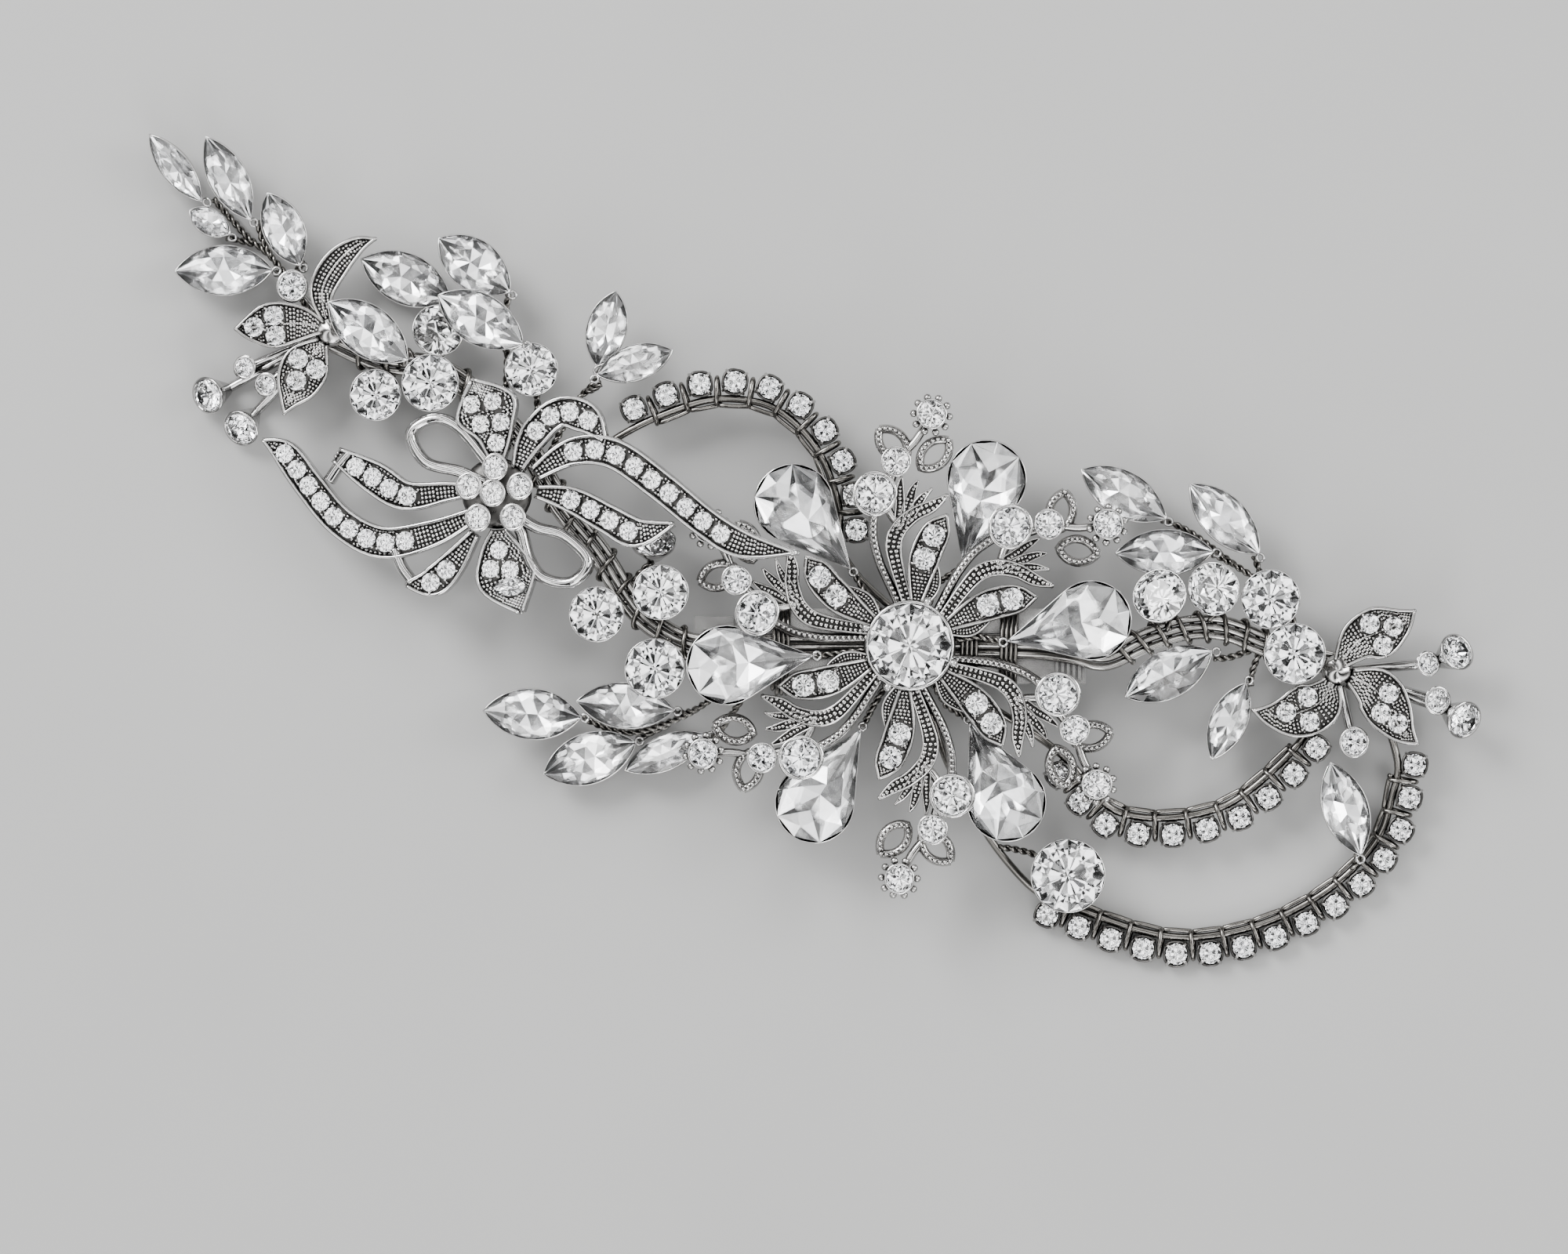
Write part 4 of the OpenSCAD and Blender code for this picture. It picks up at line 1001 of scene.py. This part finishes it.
# The route of each spray's wires, as (x, y, z)
SPRAY_WIRES = {
    "tip": [
        [(-74.2, 47.8, 0.9), (-72.4, 45.8, 0.8), (-70.4, 43.6, 1.2), (-68, 41.6, 1.9), (-65.6, 38.4, 2),
         (-63.4, 35, 3), (-62, 33.4, 3.8)],
        [(-69.4, 45.4, 1.8), (-69, 43.6, 1.8), (-68, 41.6, 2)],
        [(-64.4, 41, 2), (-65.4, 40, 2), (-65.8, 38.8, 2)],
        [(-67.6, 39.9, 1.5), (-66.6, 39.4, 1.8), (-65.8, 38.8, 2)],
        [(-72.8, 43.7, 1), (-71.4, 43.4, 1.1), (-70, 43, 1.4)],
    ],
    "upper": [
        [(-53.7, 30.6, 6), (-53.8, 30.4, 4.8), (-54.2, 30.2, 3.8)],
        [(-48.6, 37.2, 1.5), (-46.4, 36.2, 1.4), (-44, 35.4, 2), (-43, 33.6, 3), (-42.8, 30.4, 3.2),
         (-43, 27, 3.6), (-43.4, 24.6, 4.4)],
        [(-42.7, 37.6, 3.6), (-42.9, 36.2, 3), (-43.3, 34.8, 2.6)],
        [(-41.4, 32.6, 6), (-42.6, 32.8, 4.6), (-43.1, 31.6, 3.3)],
        [(-32.7, 30, 4), (-33.4, 28.2, 4), (-35.4, 26, 4.2), (-38, 21, 5), (-39, 18.6, 5.2)],
        [(-32.8, 28, 6.2), (-33.6, 27.4, 5.2), (-34.3, 27.2, 4.2)],
    ],
    "lower": [
        [(-34.8, -7.6, 2.9), (-30, -9.2, 2.6), (-24.4, -7.6, 4.4), (-20.4, -5.2, 7.4), (-16.4, -2.6, 8.3)],
        [(-28.9, -9.9, 1.8), (-27.4, -9.1, 2.6), (-25.4, -8.2, 3.6)],
        [(-25, -7.1, 3.8), (-23.6, -7, 4.6), (-22.4, -6.6, 5.8)],
        [(-21.2, -9.9, 2), (-20, -8.8, 4.2), (-17.6, -5.4, 7.8), (-15.6, -2.8, 8.6)],
    ],
    "right": [
        [(27, 13.5, 3.2), (30, 12.2, 2.6), (34.6, 8.8, 3.4), (37.8, 6.6, 4), (40.4, 3.8, 4.2),
         (41.6, 0.6, 4.2)],
        [(36.8, 9.6, 4.4), (37.2, 8.4, 4.2), (37.8, 6.6, 4)],
        [(32.4, 9.8, 3.7), (33.4, 9.4, 3.6), (34.6, 8.8, 3.8)],
        [(32.5, -1.2, 4.2), (34, -1.2, 4.2), (36.4, -0.4, 4.4)],
        [(36.4, -4.2, 3.2), (36.6, -2.6, 3.8), (37.4, -0.4, 4.4)],
        [(47.8, -22.2, 2.3), (47.7, -23, 2), (47.2, -24, 1.6)],
    ],
}

flower()
bow()
leaves("left_leaves", LEFT_HUB, LEFT_LEAVES, "left_leaf_stones", "left_leaf_casting")
leaves("right_leaves", RIGHT_HUB, RIGHT_LEAVES, "right_leaf_stones", "right_leaf_casting")
stamens("left_stamen_cones", LEFT_HUB, "left_stamen_stones", "left_stamens")
stamens("right_stamen_cones", RIGHT_HUB, "right_stamen_stones", "right_stamens")
centre_setting()
arm_settings()
settings("bow_settings", "bow_centre_stones", "bow_centre_cups", rim=0.3)
settings("pear_shells", "pear_stones", "pear_settings", THIN_RIM, [Vector((0, 0, HUB_Z))])
settings("round_shells", "round_stones", "round_cups", THIN_RIM)
for side in ("tip", "upper", "lower", "right"):
    ends = [Vector(p) for route in SPRAY_WIRES[side] for p in route]
    settings(side + "_spray_shells", side + "_spray_stones", side + "_spray_settings", THIN_RIM, ends)
    spray_wires(side)
for side in ("upper", "inner", "outer"):
    chain(side)
    round_wire(side + "_chain_wire", WIRE_R, WIRE)
    round_wire(side + "_chain_wrap", WRAP_R, WIRE)
round_wire("main_stem", WIRE_R, GUNMETAL)
round_wire("stem_binding_left", STEM_WRAP_R, WIRE)
round_wire("stem_binding_right", STEM_WRAP_R, WIRE)
round_wire("clip_bindings", BINDING_R, WIRE)
twisted_wire("pear_stems")
twisted_wire("round_stems")


SOFT_EDGE = 0.08 * MM
CLIP_NODES = ("barrette_base", "tension_spring", "clasp_arm", "hinge_rivet", "latch_tab_front",
              "latch_tab_back")


def clip():
    """The clip keeps its CAD shape, with its edges softened."""
    for node in CLIP_NODES:
        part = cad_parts[node]
        part.data.materials.clear()
        part.data.materials.append(STEEL)
        soft = part.modifiers.new("soft_edges", "BEVEL")
        soft.width = SOFT_EDGE
        soft.segments = 2
        soft.angle_limit = math.radians(40)


clip()


# Floor, light and camera

FLOOR_GAP = 0.05 * MM


def plain_floor():
    """A level floor, just short of the clip's underside so that the two faces don't fight."""
    mesh = bmesh.new()
    bmesh.ops.create_grid(mesh, x_segments=8, y_segments=8, size=2)
    data = bpy.data.meshes.new("floor")
    mesh.to_mesh(data)
    mesh.free()
    data.materials.append(floor_paint())
    made = bpy.data.objects.new("floor", data)
    made.location.z = -FLOOR_GAP
    bpy.context.scene.collection.objects.link(made)


def soft_light(name, place, target, size, watts):
    """A square lamp that faces its target, all in metres."""
    light = bpy.data.lights.new(name, "AREA")
    light.shape = "SQUARE"
    light.size = size
    light.energy = watts
    made = bpy.data.objects.new(name, light)
    made.location = place
    made.rotation_euler = (Vector(place) - target).to_track_quat("Z", "Y").to_euler()
    bpy.context.scene.collection.objects.link(made)


# The room's low grey, its strength, how many soft boxes stand round it, how they lean as they rise, and
# their tones from the middle of a gap to the middle of a box
LOW_SKY = (0.5, 0.5, 0.5)
SKY_STRENGTH = 0.6
BOX_COUNT = 5
BOX_CLIMB = 11
BOX_TONES = [
    (0.0, 0.01), (0.2, 0.02), (0.22, 0.3), (0.36, 0.5), (0.4, 1.3), (0.66, 1.8), (0.72, 5.5), (1.0, 8),
]


def studio():
    """A room of soft boxes with dark gaps between them, which is what cut stones and silver show.

    Low down, the room is an even grey.
    """
    world = bpy.data.worlds.new("studio")
    bpy.context.scene.world = world
    world.use_nodes = True
    tree = world.node_tree
    place = tree.nodes.new("ShaderNodeTexCoord")
    parts = tree.nodes.new("ShaderNodeSeparateXYZ")
    tree.links.new(place.outputs["Generated"], parts.inputs["Vector"])
    around = combined(tree, "ARCTAN2", parts.outputs["Y"], parts.outputs["X"])
    climb = combined(tree, "MULTIPLY", parts.outputs["Z"], BOX_CLIMB)
    swirl = combined(tree, "MULTIPLY_ADD", around, BOX_COUNT, climb)
    wave = combined(tree, "MULTIPLY_ADD", combined(tree, "SINE", swirl), 0.5, 0.5)
    boxes = ramp(tree, wave, [(at, (tone,) * 3) for at, tone in BOX_TONES])
    height = ramp(tree, parts.outputs["Z"], [(0.3, (0, 0, 0)), (0.45, (1, 1, 1))])
    sky = mixed(tree, height, LOW_SKY, boxes)
    tree.links.new(sky, tree.nodes["Background"].inputs["Color"])
    tree.nodes["Background"].inputs["Strength"].default_value = SKY_STRENGTH


def camera():
    """Almost straight down, with the clip's length level, as wide as the object with its margins."""
    target = Vector((-13.3, 2.05, 7)) * MM
    away = Vector((0, -0.01, 1)).normalized()
    distance = 1.6
    width = 166.7 * MM
    data = bpy.data.cameras.new("camera")
    data.sensor_width = 36
    data.lens = data.sensor_width * distance / width
    made = bpy.data.objects.new("camera", data)
    right = (Vector((1, 0, 0)) - away * away.x).normalized()
    up = away.cross(right)
    aimed = Matrix((right, up, away)).transposed().to_4x4()
    made.matrix_world = Matrix.Translation(target + away * distance) @ aimed
    bpy.context.scene.collection.objects.link(made)
    bpy.context.scene.camera = made


plain_floor()
middle = Vector((-10, 0, 5)) * MM
soft_light("key", (-0.45, 0.45, 0.55), middle, size=0.35, watts=9)
soft_light("fill", (0.6, 0.15, 0.4), middle, size=0.3, watts=3)
soft_light("front", (0.1, -0.6, 0.35), middle, size=0.25, watts=2)
studio()
camera()
